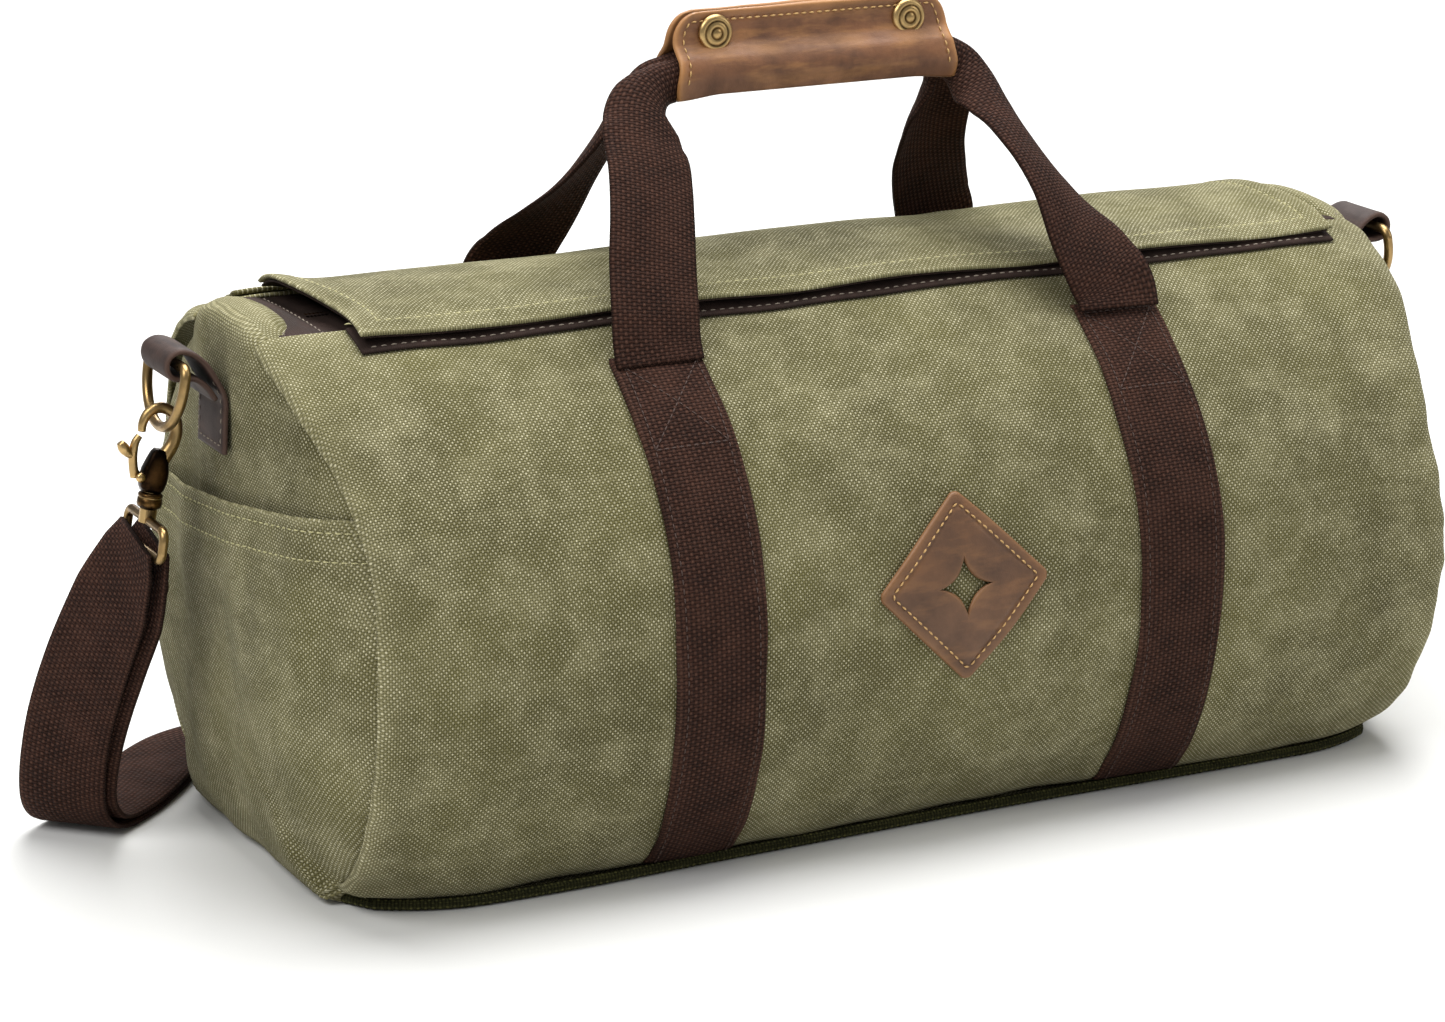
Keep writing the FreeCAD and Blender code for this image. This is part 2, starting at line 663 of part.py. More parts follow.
def draw_rounded_loop(sketch, half_width, top, low, corner, round_low):
    """A closed wire path: a rectangle with round corners, or one whose foot is a half circle."""
    w = size_of(half_width)
    t = size_of(top)
    b = size_of(low)
    c = size_of(corner)
    axis = V(0, 0, 1)
    quarter = math.pi / 2
    pieces = [Part.LineSegment(V(0, t, 0), V(w - c, t, 0)),
              Part.ArcOfCircle(Part.Circle(V(w - c, t - c, 0), axis, c), 0, quarter)]
    if round_low:
        pieces += [Part.LineSegment(V(w, t - c, 0), V(w, b + w, 0)),
                   Part.ArcOfCircle(Part.Circle(V(0, b + w, 0), axis, w), 2 * quarter, 4 * quarter),
                   Part.LineSegment(V(-w, b + w, 0), V(-w, t - c, 0))]
    else:
        pieces += [Part.LineSegment(V(w, t - c, 0), V(w, b + c, 0)),
                   Part.ArcOfCircle(Part.Circle(V(w - c, b + c, 0), axis, c), 3 * quarter, 4 * quarter),
                   Part.LineSegment(V(w - c, b, 0), V(c - w, b, 0)),
                   Part.ArcOfCircle(Part.Circle(V(c - w, b + c, 0), axis, c), 2 * quarter, 3 * quarter),
                   Part.LineSegment(V(-w, b + c, 0), V(-w, t - c, 0))]
    pieces += [Part.ArcOfCircle(Part.Circle(V(c - w, t - c, 0), axis, c), quarter, 2 * quarter),
               Part.LineSegment(V(c - w, t, 0), V(0, t, 0))]
    sketch.addGeometry(pieces)
    count = len(pieces)
    for i in range(count):
        # arcs are drawn counter-clockwise while the path runs clockwise
        end_point = 1 if isinstance(pieces[i], Part.ArcOfCircle) else 2
        following = (i + 1) % count
        start_point = 2 if isinstance(pieces[following], Part.ArcOfCircle) else 1
        if pieces[i] is pieces[0] or i < count - 1:
            kind = "Tangent" if isinstance(pieces[i], Part.ArcOfCircle) or isinstance(
                pieces[following], Part.ArcOfCircle) else "Coincident"
            sketch.addConstraint(Sketcher.Constraint(kind, i, end_point, following, start_point))
    sketch.addConstraint(Sketcher.Constraint("Coincident", count - 1, 2, 0, 1))
    arcs = [i for i in range(count) if isinstance(pieces[i], Part.ArcOfCircle)]
    bind(sketch, Sketcher.Constraint("Radius", arcs[0], c), "corner", corner)
    for arc in arcs[1:]:
        if abs(pieces[arc].Radius - c) < 1e-6:
            sketch.addConstraint(Sketcher.Constraint("Equal", arcs[0], arc))
    sketch.addConstraint(Sketcher.Constraint("Horizontal", 0))
    sketch.addConstraint(Sketcher.Constraint("Horizontal", count - 1))
    sketch.addConstraint(Sketcher.Constraint("Vertical", 2))
    bind(sketch, Sketcher.Constraint("DistanceX", -1, 1, 2, 1, w), "half_width", half_width)
    bind(sketch, Sketcher.Constraint("DistanceY", -1, 1, 0, 1, t), "top", top)
    sketch.addConstraint(Sketcher.Constraint("PointOnObject", 0, 1, -2))
    return count


def wire_loop(body, name, lift, half_width, top, low, corner, wire, round_low):
    """A bent wire in a plane across the bag."""
    path = new_sketch(body, "YZ_Plane", name + "_path", ("0", WIRE_HEIGHT), lift)
    count = draw_rounded_loop(path, half_width, top, low, corner, round_low)
    doc.recompute()
    section = new_sketch(body, "XZ_Plane", name + "_wire", (lift, WIRE_HEIGHT))
    draw_circle(section, "0", top, wire)
    doc.recompute()
    pipe = body.newObject("PartDesign::AdditivePipe", name + "_bend")
    pipe.Profile = section
    pipe.Spine = (path, ["Edge%d" % (i + 1) for i in range(count)])
    doc.recompute()
    return pipe


def hang(body, side):
    """Turns a body about the ring's straight bar, away from the end."""
    bar = V(side * size_of("dims.ring_reach"), 0, size_of("dims.ring_height"))
    turn = FreeCAD.Rotation(V(0, 1, 0), -side * size_of("dims.hang_angle"))
    body.Placement = FreeCAD.Placement(V(0, 0, 0), turn, bar)


for end, side in ENDS:
    reach = mirrored(side, "dims.ring_reach")

    name = "ring_tab_" + end
    tab = new_body(name)
    side_view = new_sketch(tab, "XZ_Plane", name + "_side")
    plate = "dims.half_length + 0.1"
    front = "dims.half_length + 0.1 + dims.tab_leather"
    loop_low = "dims.ring_height - dims.tab_loop_radius"
    loop_top = "dims.ring_height + dims.tab_loop_radius"
    outline = [(plate, "dims.tab_low"), (front, "dims.tab_low"), (front, loop_low),
               ("dims.ring_reach", loop_low), ("dims.ring_reach", loop_top), (plate, loop_top)]
    draw_polygon(side_view, [(mirrored(side, u), w) for u, w in outline])
    pad(tab, side_view, "2 * dims.tab_half_width", name + "_tongue", both_ways=True)
    loop = new_sketch(tab, "XZ_Plane", name + "_loop_end")
    draw_circle(loop, reach, "dims.ring_height", "dims.tab_loop_radius")
    pad(tab, loop, "2 * dims.tab_half_width", name + "_loop", both_ways=True)
    hole = new_sketch(tab, "XZ_Plane", name + "_hole_end")
    draw_circle(hole, reach, "dims.ring_height", "dims.tab_hole_radius")
    cut_checked(tab, hole, "4 * dims.tab_half_width", name + "_hole")

    name = "d_ring_" + end
    wire_loop(new_body(name), name, reach, "dims.ring_half_width",
              "dims.ring_side + dims.ring_half_width", "0", "dims.ring_corner",
              "dims.ring_wire", True)

    name = "strap_eye_" + end
    eye = new_body(name)
    wire_loop(eye, name, reach, "dims.eye_half_width", "-dims.eye_top", "-dims.eye_low",
              "dims.eye_corner", "dims.eye_wire", False)
    stud = new_sketch(eye, "XZ_Plane", name + "_stud_profile", (reach, WIRE_HEIGHT))
    head_low = "-(dims.head_space_low - 0.4)"
    head_top = "-(dims.head_space_top + 0.4)"
    boss_top = "-(dims.barrel_low + 0.5)"
    post = "(dims.stud_hole_radius - 0.4)"
    draw_polygon(stud, [("0", "-(dims.eye_top + 1)"), ("3.4", "-(dims.eye_top + 1)"),
                        ("3.4", boss_top), (post, boss_top), (post, head_low),
                        ("(dims.head_space_radius - 0.5)", head_low),
                        ("(dims.head_space_radius - 0.5)", head_top), ("0", head_top)])
    doc.recompute()
    turned = eye.newObject("PartDesign::Revolution", name + "_stud")
    turned.Profile = stud
    turned.ReferenceAxis = (stud, ["V_Axis"])
    turned.Angle = 360
    doc.recompute()

    def hook_sketch(body, label, outline=None, circle=None):
        sketch = new_sketch(body, "XZ_Plane", label, (reach, WIRE_HEIGHT))
        if outline:
            draw_polygon(sketch, [(mirrored(side, u), w) for u, w in outline])
        if circle:
            draw_circle(sketch, mirrored(side, circle[0]), circle[1], circle[2])
        return sketch

    name = "hook_body_" + end
    hook = new_body(name)
    # claw over the ring's wire: a thick hoop with the outer lower side taken away
    hoop = hook_sketch(hook, name + "_hoop", circle=("0", "-1", "dims.hook_rim"))
    pad(hook, hoop, "2 * dims.hook_half_depth", name + "_claw", both_ways=True)
    frame = hook_sketch(hook, name + "_frame", [
        ("-dims.hook_rim", "-1"), ("dims.hook_rim", "-1"), ("dims.hook_heel", "-dims.hook_block_top"),
        ("dims.hook_heel", "-dims.hook_block_low"), ("-dims.hook_rim", "-dims.hook_block_low")])
    pad(hook, frame, "2 * dims.hook_half_depth", name + "_block", both_ways=True)
    bore = hook_sketch(hook, name + "_bore", circle=("0", "-1", "dims.hook_bore"))
    cut_checked(hook, bore, "4 * dims.hook_half_depth", name + "_inside")
    gate = hook_sketch(hook, name + "_gate", [
        ("-dims.hook_bore", "-1"), ("dims.hook_heel + 2", "-1"),
        ("dims.hook_heel + 2", "-dims.hook_block_top"), ("-dims.hook_bore", "-dims.hook_block_top")])
    cut_checked(hook, gate, "4 * dims.hook_half_depth", name + "_mouth")
    shank = new_sketch(hook, "XZ_Plane", name + "_shank_profile", (reach, WIRE_HEIGHT))
    draw_polygon(shank, [("0", "-dims.hook_block_top"), ("dims.swivel_radius", "-dims.hook_block_top"),
                         ("dims.swivel_radius", "-dims.barrel_low"), ("0", "-dims.barrel_low")])
    doc.recompute()
    swivel = hook.newObject("PartDesign::Revolution", name + "_barrel")
    swivel.Profile = shank
    swivel.ReferenceAxis = (shank, ["V_Axis"])
    swivel.Angle = 360
    doc.recompute()
    space = new_sketch(hook, "XZ_Plane", name + "_space_profile", (reach, WIRE_HEIGHT))
    draw_polygon(space, [("0", "-(dims.barrel_low + 1)"),
                         ("dims.stud_hole_radius", "-(dims.barrel_low + 1)"),
                         ("dims.stud_hole_radius", "-dims.head_space_low"),
                         ("dims.head_space_radius", "-dims.head_space_low"),
                         ("dims.head_space_radius", "-dims.head_space_top"),
                         ("0", "-dims.head_space_top")])
    doc.recompute()
    before = hook.Shape.Volume
    hollow = hook.newObject("PartDesign::Groove", name + "_stud_space")
    hollow.Profile = space
    hollow.ReferenceAxis = (space, ["V_Axis"])
    hollow.Angle = 360
    doc.recompute()
    if hook.Shape.Volume > before - 1:
        raise RuntimeError("the stud space removes nothing")
    slot = hook_sketch(hook, name + "_slot_outline", [
        ("4.0", "-(dims.hook_block_top - 1)"), ("dims.hook_heel + 2", "-(dims.hook_block_top - 1)"),
        ("dims.hook_heel + 2", "-24.5"), ("4.0", "-24.5")])
    cut_checked(hook, slot, "2 * dims.slot_half", name + "_slot")
    pivot_place = ("dims.pivot_out", "-dims.pivot_drop")
    pivot = hook_sketch(hook, name + "_pivot_end",
                        circle=pivot_place + ("dims.pin_radius + 0.05",))
    cut_checked(hook, pivot, "4 * dims.hook_half_depth", name + "_pivot_hole")

    name = "trigger_pin_" + end
    pin = new_body(name)
    pin_end = hook_sketch(pin, name + "_end", circle=pivot_place + ("dims.pin_radius",))
    pad(pin, pin_end, "2 * dims.hook_half_depth + 0.6", name + "_run", both_ways=True)

    name = "trigger_" + end
    trigger = new_body(name)
    lever = hook_sketch(trigger, name + "_lever_outline", [
        ("5.0", "-dims.pivot_drop"), ("5.0", "-2.4"), ("8.4", "-2.4"), ("8.4", "-7.6"),
        ("13.6", "-6.4"), ("14.4", "-8.2"), ("8.4", "-13.2"), ("9.9", "-18.0"),
        ("9.9", "-dims.pivot_drop")])
    pad(trigger, lever, "2 * dims.trigger_half_depth", name + "_lever", both_ways=True)
    knuckle = hook_sketch(trigger, name + "_knuckle_end",
                          circle=pivot_place + ("dims.trigger_eye_radius",))
    pad(trigger, knuckle, "2 * dims.trigger_half_depth", name + "_knuckle", both_ways=True)
    pin_hole = hook_sketch(trigger, name + "_pin_hole_end",
                           circle=pivot_place + ("dims.trigger_hole_radius",))
    cut_checked(trigger, pin_hole, "4 * dims.trigger_half_depth", name + "_pin_hole")
    for part in ("d_ring_", "strap_eye_", "hook_body_", "trigger_pin_", "trigger_"):
        hang(NODES[part + end], side)
    doc.recompute()

# ---- shoulder strap ----
strap_half = size_of("dims.strap_width") / 2
strap_thick = size_of("dims.strap_thick")
layer_step = strap_thick + size_of("dims.strap_layer_gap")
floor_middle = size_of("dims.strap_lift") + strap_thick / 2
beside_eye = size_of("dims.eye_wire") + 0.7 + strap_thick / 2
run_back = size_of("dims.strap_run_back")
hang_angle = math.radians(size_of("dims.hang_angle"))


def hung(out, down):
    """(out, height) of a point beside and below the ring's straight bar, as it hangs."""
    return (size_of("dims.ring_reach") + out * math.cos(hang_angle) + down * math.sin(hang_angle),
            size_of("dims.ring_height") + out * math.sin(hang_angle) - down * math.cos(hang_angle))


bar_drop = size_of("dims.ring_height - %s + dims.eye_low" % WIRE_HEIGHT)
eye_out, eye_height = hung(0, bar_drop)
LANDING = (eye_out + 22.6, 78.0, floor_middle)
HEADING = V(-0.75, 0.66, 0)


def drop_stations(side, inward, beside):
    """Strap stations from the eye, out and down to the floor; inward shifts the layer into the bend."""
    start_out, start_height = hung(beside, bar_drop - 5)
    next_out, next_height = hung(beside, bar_drop + 14)
    path = [
        (start_out, 0, start_height, V(0, 1, 0), 0.0),
        (next_out, 2, next_height, V(0.06, 0.98, 0.1), 0.0),
        (eye_out + 17, 20, eye_height - 51, V(0.3, 0.85, 0.36), 1.45),
        (eye_out + 28, 42, eye_height - 81, V(0.5, 0.75, 0.3), 1.4),
        (eye_out + 35.5, 59, eye_height - 106, V(0.62, 0.77, 0.05), 1.3),
        (eye_out + 33, 67.5, 11.5, V(0.66, 0.75, 0), 1.2),
        LANDING + (V(0.66, 0.75, 0), 1.0),
    ]
    points = [V(out, back, high) for out, back, high, across, full in path]
    last = len(points) - 1
    stations = []
    for i, (out, back, high, across, full) in enumerate(path):
        travel = HEADING if i == last else points[i + 1] - points[max(i - 1, 0)]
        travel = V(travel).normalize()
        inside = across.cross(travel).normalize()
        place = points[i] + inside * inward * full
        stations.append((V(side * place.x, place.y, place.z),
                         V(side * across.x, across.y, across.z), (1.0, 1.0)))
    return stations


for end, side in ENDS:
    soft_solid("strap_drop_" + end,
               ribbon(drop_stations(side, 0, beside_eye), strap_half, strap_thick, 33))
soft_solid("strap_return_drop",
           ribbon(drop_stations(-1, layer_step, -beside_eye), strap_half, strap_thick, 33))


def flat_band(corners, radius, half_width, low, thick):
    """A strip lying flat: straight runs joined by tangent arcs."""
    edges_by_side = []
    for offset in (half_width, -half_width):
        edges = []
        points = [V(x, y, low) for x, y in corners]
        last_point = None
        for i, point in enumerate(points):
            if i == 0 or i == len(points) - 1:
                travel = points[1] - points[0] if i == 0 else points[-1] - points[-2]
                travel.normalize()
                here = point + V(-travel.y, travel.x, 0) * offset
                if last_point is not None:
                    edges.append(Part.makeLine(last_point, here))
                last_point = here
                continue
            arrive = (point - points[i - 1]).normalize()
            leave = (points[i + 1] - point).normalize()
            turn = math.acos(max(-1.0, min(1.0, arrive.dot(leave))))
            setback = radius * math.tan(turn / 2)
            hand = 1 if arrive.cross(leave).z > 0 else -1
            arrive_side = V(-arrive.y, arrive.x, 0)
            leave_side = V(-leave.y, leave.x, 0)
            start = point - arrive * setback
            finish = point + leave * setback
            centre = start + arrive_side * radius * hand
            middle = (arrive_side + leave_side).normalize()
            bend_start = start + arrive_side * offset
            bend_end = finish + leave_side * offset
            bend_mid = centre + middle * (offset - radius * hand)
            edges.append(Part.makeLine(last_point, bend_start))
            edges.append(Part.Arc(bend_start, bend_mid, bend_end).toShape())
            last_point = bend_end
        edges_by_side.append(edges)
    left_edges, right_edges = edges_by_side
    head = Part.makeLine(left_edges[0].Vertexes[0].Point, right_edges[0].Vertexes[0].Point)
    tail = Part.makeLine(left_edges[-1].Vertexes[-1].Point, right_edges[-1].Vertexes[-1].Point)
    outline = Part.Wire(Part.__sortEdges__(left_edges + right_edges + [head, tail]))
    return Part.Face(outline).extrude(V(0, 0, thick))


strap_low = size_of("dims.strap_lift")
run_turn = (LANDING[0] + HEADING.x * (run_back - LANDING[1]) / HEADING.y, run_back)
run_start = (LANDING[0] + HEADING.x * 1.0, LANDING[1] + HEADING.y * 1.0)
corner_radius = size_of("dims.strap_corner")
floor_corners = [(-run_start[0], run_start[1]), (-run_turn[0], run_back),
                 (run_turn[0], run_back), (run_start[0], run_start[1])]
soft_solid("strap_floor_run",
           flat_band(floor_corners, corner_radius, strap_half, strap_low, strap_thick))
return_corners = floor_corners[:2] + [(size_of("dims.strap_return_end"), run_back)]
soft_solid("strap_return_run",
           flat_band(return_corners, corner_radius, strap_half, strap_low + layer_step, strap_thick))

# rivet cap that closes the strap's fold below the left eye, on the layer facing the bag
name = "strap_rivet"
rivet = new_body(name)
inner_face = "-(dims.ring_reach - dims.eye_wire - 0.7 - dims.strap_thick) + 1.5"
rivet_head = new_sketch(rivet, "YZ_Plane", name + "_head",
                        ("0", WIRE_HEIGHT + " - dims.eye_low - 13"), inner_face)
draw_circle(rivet_head, "0", "0", "dims.rivet_radius")
pad(rivet, rivet_head, "dims.rivet_thick", name + "_cap")
hang(rivet, -1)

# strap slider: a channel over both layers, with two windows that leave three bars
name = "strap_slider"
glide = new_body(name)
stack_top = "(dims.strap_lift + 2 * dims.strap_thick + dims.strap_layer_gap + 0.5)"
glide_in = "(dims.strap_width / 2 + 0.6)"
channel = new_sketch(glide, "YZ_Plane", name + "_channel", ("dims.strap_run_back", "0"),
                     "dims.glide_position - dims.glide_half_length")
draw_polygon(channel, [
    ("-dims.glide_half_width", "0.3"), ("-" + glide_in, "0.3"), ("-" + glide_in, stack_top),
    (glide_in, stack_top), (glide_in, "0.3"), ("dims.glide_half_width", "0.3"),
    ("dims.glide_half_width", stack_top + " + dims.glide_thick"),
    ("-dims.glide_half_width", stack_top + " + dims.glide_thick")])
pad(glide, channel, "2 * dims.glide_half_length", name + "_frame")
for label, hand in (("near", -1), ("far", 1)):
    window = new_sketch(glide, "XY_Plane", name + "_window_" + label,
                        ("dims.glide_position", "dims.strap_run_back"),
                        stack_top + " + dims.glide_thick + 1")
    inner = "dims.glide_bar / 2"
    outer = "dims.glide_half_length - dims.glide_bar"
    corners = [(inner, "-%s" % glide_in), (outer, "-%s" % glide_in), (outer, glide_in),
               (inner, glide_in)]
    draw_polygon(window, [(mirrored(hand, u), v) for u, v in corners])
    cut_checked(glide, window, "dims.glide_thick + 1", name + "_opening_" + label, both_ways=False)

doc.recompute()
problems = []
for item in doc.Objects:
    if "Invalid" in item.State or "Error" in item.State:
        problems.append("%s state %s" % (item.Name, item.State))
for name, item in NODES.items():
    if item.Shape.isNull() or not item.Shape.isValid() or item.Shape.Volume < 1:
        problems.append("%s has no valid shape" % name)
    elif len(item.Shape.Solids) != 1:
        problems.append("%s has %d solids" % (name, len(item.Shape.Solids)))
if problems:
    raise RuntimeError("\n".join(problems))

os.makedirs("parts", exist_ok=True)
for name, item in NODES.items():
    item.Shape.exportStep("parts/%s.step" % name)
print("exported %d sub-parts" % len(NODES))
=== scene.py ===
"""The look of the canvas duffel bag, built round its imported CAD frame.
Shapes are worked out in millimetres, and make_piece() turns them into metres."""
import math

import bpy
import numpy as np
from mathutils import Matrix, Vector


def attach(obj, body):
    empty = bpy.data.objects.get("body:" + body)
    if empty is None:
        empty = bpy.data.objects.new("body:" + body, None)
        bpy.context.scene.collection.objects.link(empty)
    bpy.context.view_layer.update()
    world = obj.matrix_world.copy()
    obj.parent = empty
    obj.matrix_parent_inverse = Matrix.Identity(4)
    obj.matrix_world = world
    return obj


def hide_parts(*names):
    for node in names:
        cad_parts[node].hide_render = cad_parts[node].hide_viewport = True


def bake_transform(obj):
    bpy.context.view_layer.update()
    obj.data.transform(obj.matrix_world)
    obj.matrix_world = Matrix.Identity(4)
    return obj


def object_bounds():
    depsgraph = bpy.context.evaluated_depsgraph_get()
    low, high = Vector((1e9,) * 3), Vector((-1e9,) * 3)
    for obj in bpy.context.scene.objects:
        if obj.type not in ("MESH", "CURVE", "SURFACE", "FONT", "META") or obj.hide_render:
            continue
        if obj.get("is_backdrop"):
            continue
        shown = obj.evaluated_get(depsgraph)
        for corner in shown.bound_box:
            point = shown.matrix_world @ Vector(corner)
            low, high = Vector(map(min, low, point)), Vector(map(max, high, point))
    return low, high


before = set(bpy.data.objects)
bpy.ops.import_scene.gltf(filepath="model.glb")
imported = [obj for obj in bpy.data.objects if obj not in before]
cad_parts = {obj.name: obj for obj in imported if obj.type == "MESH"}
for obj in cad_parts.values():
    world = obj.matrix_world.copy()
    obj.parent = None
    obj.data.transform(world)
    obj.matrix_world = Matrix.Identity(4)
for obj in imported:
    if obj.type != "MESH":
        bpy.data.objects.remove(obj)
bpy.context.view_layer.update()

MM = 0.001
ENDS = (("left", -1), ("right", 1))
FACES = (("front", -1), ("back", 1))

# ---- materials ----


def tone(code):
    """A linear colour from a web colour code."""
    values = [int(code[i:i + 2], 16) / 255 for i in (1, 3, 5)]
    return [v / 12.92 if v <= 0.04045 else ((v + 0.055) / 1.055) ** 2.4 for v in values] + [1.0]


class Shader:
    """A material, with short ways to add nodes to it."""

    def __init__(self, name):
        self.material = bpy.data.materials.new(name)
        self.material.use_nodes = True
        self.tree = self.material.node_tree
        self.surface = self.tree.nodes["Principled BSDF"]

    def node(self, kind, inputs=None, **settings):
        made = self.tree.nodes.new("ShaderNode" + kind)
        for key, value in settings.items():
            setattr(made, key, value)
        for key, value in (inputs or {}).items():
            self.feed(made.inputs[key], value)
        return made

    def feed(self, socket, value):
        if isinstance(value, bpy.types.NodeSocket):
            self.tree.links.new(value, socket)
        else:
            socket.default_value = value

    def math(self, operation, first, second=0.0):
        return self.node("Math", {0: first, 1: second}, operation=operation).outputs[0]

    def mix(self, share, first, second):
        return self.node("Mix", {0: share, 6: first, 7: second}, data_type="RGBA").outputs[2]

    def noise(self, vector, scale, detail=3.0, rough=0.55):
        made = self.node("TexNoise", {"Vector": vector, "Scale": scale, "Detail": detail,
                                      "Roughness": rough})
        return made.outputs["Fac"]

    def spread(self, value, low, high, out_low=0.0, out_high=1.0):
        """Stretches value from low..high to out_low..out_high."""
        made = self.node("MapRange", {"Value": value, "From Min": low, "From Max": high,
                                      "To Min": out_low, "To Max": out_high})
        return made.outputs[0]

    def scaled(self, vector, factors):
        return self.node("VectorMath", {0: vector, 1: factors}, operation="MULTIPLY").outputs[0]

    def cloth_place(self):
        return self.node("UVMap", uv_map="cloth").outputs[0]

    def wear_and_highlight(self):
        return self.node("Attribute", attribute_name="wear_and_highlight").outputs["Fac"]

    def weave(self, place, warp, weft):
        """Height of a plain weave, 0 to 1; warp and weft are the thread pitches in metres."""
        parts = self.node("SeparateXYZ", {0: place})
        across = self.math("SINE", self.math("MULTIPLY", parts.outputs[0], math.pi / warp))
        along = self.math("SINE", self.math("MULTIPLY", parts.outputs[1], math.pi / weft))
        turn = self.math("MULTIPLY", across, along)
        self.warp_on_top = turn
        over = self.math("MULTIPLY_ADD", turn, 0.4)
        over.node.inputs[2].default_value = 0.6
        under = self.math("SUBTRACT", 1.2, over)
        first = self.math("MULTIPLY", self.math("ABSOLUTE", across), over)
        second = self.math("MULTIPLY", self.math("ABSOLUTE", along), under)
        return self.math("MAXIMUM", first, second)

    def crossings(self, place, warp, weft):
        """A random value for each thread crossing."""
        cells = self.node("VectorMath", {0: self.scaled(place, (1 / warp, 1 / weft, 0))},
                          operation="FLOOR").outputs[0]
        return self.node("TexWhiteNoise", {"Vector": cells}, noise_dimensions="3D").outputs["Value"]

    def bump(self, height, distance, strength=1.0, under=None):
        inputs = {"Height": height, "Distance": distance, "Strength": strength}
        if under is not None:
            inputs["Normal"] = under
        return self.node("Bump", inputs).outputs[0]

    def finish(self, colour, roughness, normal=None, metallic=0.0, sheen=0.0, gloss=0.5):
        self.feed(self.surface.inputs["Base Color"], colour)
        self.feed(self.surface.inputs["Roughness"], roughness)
        self.surface.inputs["Metallic"].default_value = metallic
        self.surface.inputs["Specular IOR Level"].default_value = gloss
        self.surface.inputs["Sheen Weight"].default_value = sheen
        self.surface.inputs["Sheen Roughness"].default_value = 0.5
        if normal is not None:
            self.feed(self.surface.inputs["Normal"], normal)
        return self.material


def canvas_material(name, deep, mid, light, fleck):
    """Stone-washed coarse canvas: pale thread tops over dark gaps, mottled by the wash."""
    s = Shader(name)
    place = s.cloth_place()
    wander = s.node("TexNoise", {"Vector": place, "Scale": 55.0, "Detail": 2.0}).outputs["Color"]
    bent = s.node("VectorMath", {0: place, 1: s.scaled(wander, (0.0016, 0.0016, 0.0))},
                  operation="ADD").outputs[0]
    threads = s.weave(bent, 0.00105, 0.0011)
    crossing = s.crossings(bent, 0.00105, 0.0011)
    clouds = s.noise(place, 11.0, 5.0, 0.6)
    blotches = s.noise(place, 38.0, 5.0, 0.65)
    streaks = s.noise(s.scaled(place, (22.0, 90.0, 1.0)), 1.0, 4.0, 0.6)
    slubs = s.noise(s.scaled(place, (210.0, 800.0, 1.0)), 1.0, 2.0, 0.5)
    washed = s.mix(s.spread(clouds, 0.33, 0.67), tone(deep), tone(mid))
    washed = s.mix(s.spread(blotches, 0.45, 0.72, 0.0, 0.6), washed, tone(light))
    washed = s.mix(s.spread(streaks, 0.52, 0.75, 0.0, 0.35), washed, tone(light))
    # paler by the per-point wear-and-highlight value: rubbed seams and edges are real wear, the paling
    # towards the top of the long panels is painted highlight
    washed = s.mix(s.spread(s.wear_and_highlight(), 0.0, 1.0, 0.0, 0.7), washed, tone(light))
    grain = s.math("MULTIPLY", s.spread(crossing, 0.0, 1.0, 0.45, 1.0), s.spread(slubs, 0.3, 0.6, 0.55, 1.0))
    worn = s.math("MULTIPLY", grain, s.spread(blotches, 0.3, 0.7, 0.55, 1.0))
    tops = s.math("MULTIPLY", worn, s.spread(s.warp_on_top, 0.1, 0.75))
    flecked = s.mix(tops, washed, tone(fleck))
    shaded = s.mix(s.spread(threads, 0.1, 0.7, 0.6, 0.0), flecked, tone("#1F2010"))
    coarse = s.bump(s.noise(place, 260.0, 3.0), 0.0004, 0.5)
    raised = s.bump(threads, 0.0005, 0.8, coarse)
    return s.finish(shaded, s.spread(clouds, 0.3, 0.7, 0.86, 0.97), raised, sheen=0.04, gloss=0.2)


def webbing_material(name, deep, mid, light):
    """Coarse basket-weave webbing with a dry, slightly furry face."""
    s = Shader(name)
    place = s.cloth_place()
    threads = s.weave(place, 0.0021, 0.0014)
    crossing = s.crossings(place, 0.0021, 0.0014)
    clouds = s.noise(place, 60.0, 4.0)
    colour = s.mix(s.spread(clouds, 0.35, 0.65), tone(deep), tone(mid))
    tops = s.math("MULTIPLY", s.spread(crossing, 0.0, 1.0, 0.4, 0.8), s.spread(s.warp_on_top, 0.1, 0.8))
    colour = s.mix(tops, colour, tone(light))
    colour = s.mix(s.spread(s.wear_and_highlight(), 0.0, 1.0, 0.0, 0.4), colour, tone(light))
    # painted shade: the gaps between the threads are darkened to near black
    colour = s.mix(s.spread(threads, 0.1, 0.7, 0.8, 0.0), colour, tone("#050303"))
    fuzz = s.bump(s.noise(place, 1200.0, 2.0), 0.0002, 0.5)
    raised = s.bump(threads, 0.0007, 0.9, fuzz)
    return s.finish(colour, s.spread(crossing, 0.0, 1.0, 0.78, 0.95), raised, gloss=0.12)


def plain_cloth_material(name, deep, mid, pitch):
    """Closely woven cloth: trim tape, lining, zip tape, facing."""
    s = Shader(name)
    place = s.cloth_place()
    threads = s.weave(place, pitch, pitch)
    clouds = s.noise(place, 55.0, 4.0)
    colour = s.mix(s.spread(clouds, 0.35, 0.65), tone(deep), tone(mid))
    # painted shade: the gaps between the threads are darkened
    colour = s.mix(s.spread(threads, 0.1, 0.7, 0.35, 0.0), colour, tone("#141010"))
    raised = s.bump(threads, 0.0003, 0.6)
    return s.finish(colour, s.spread(clouds, 0.3, 0.7, 0.75, 0.92), raised, gloss=0.15)


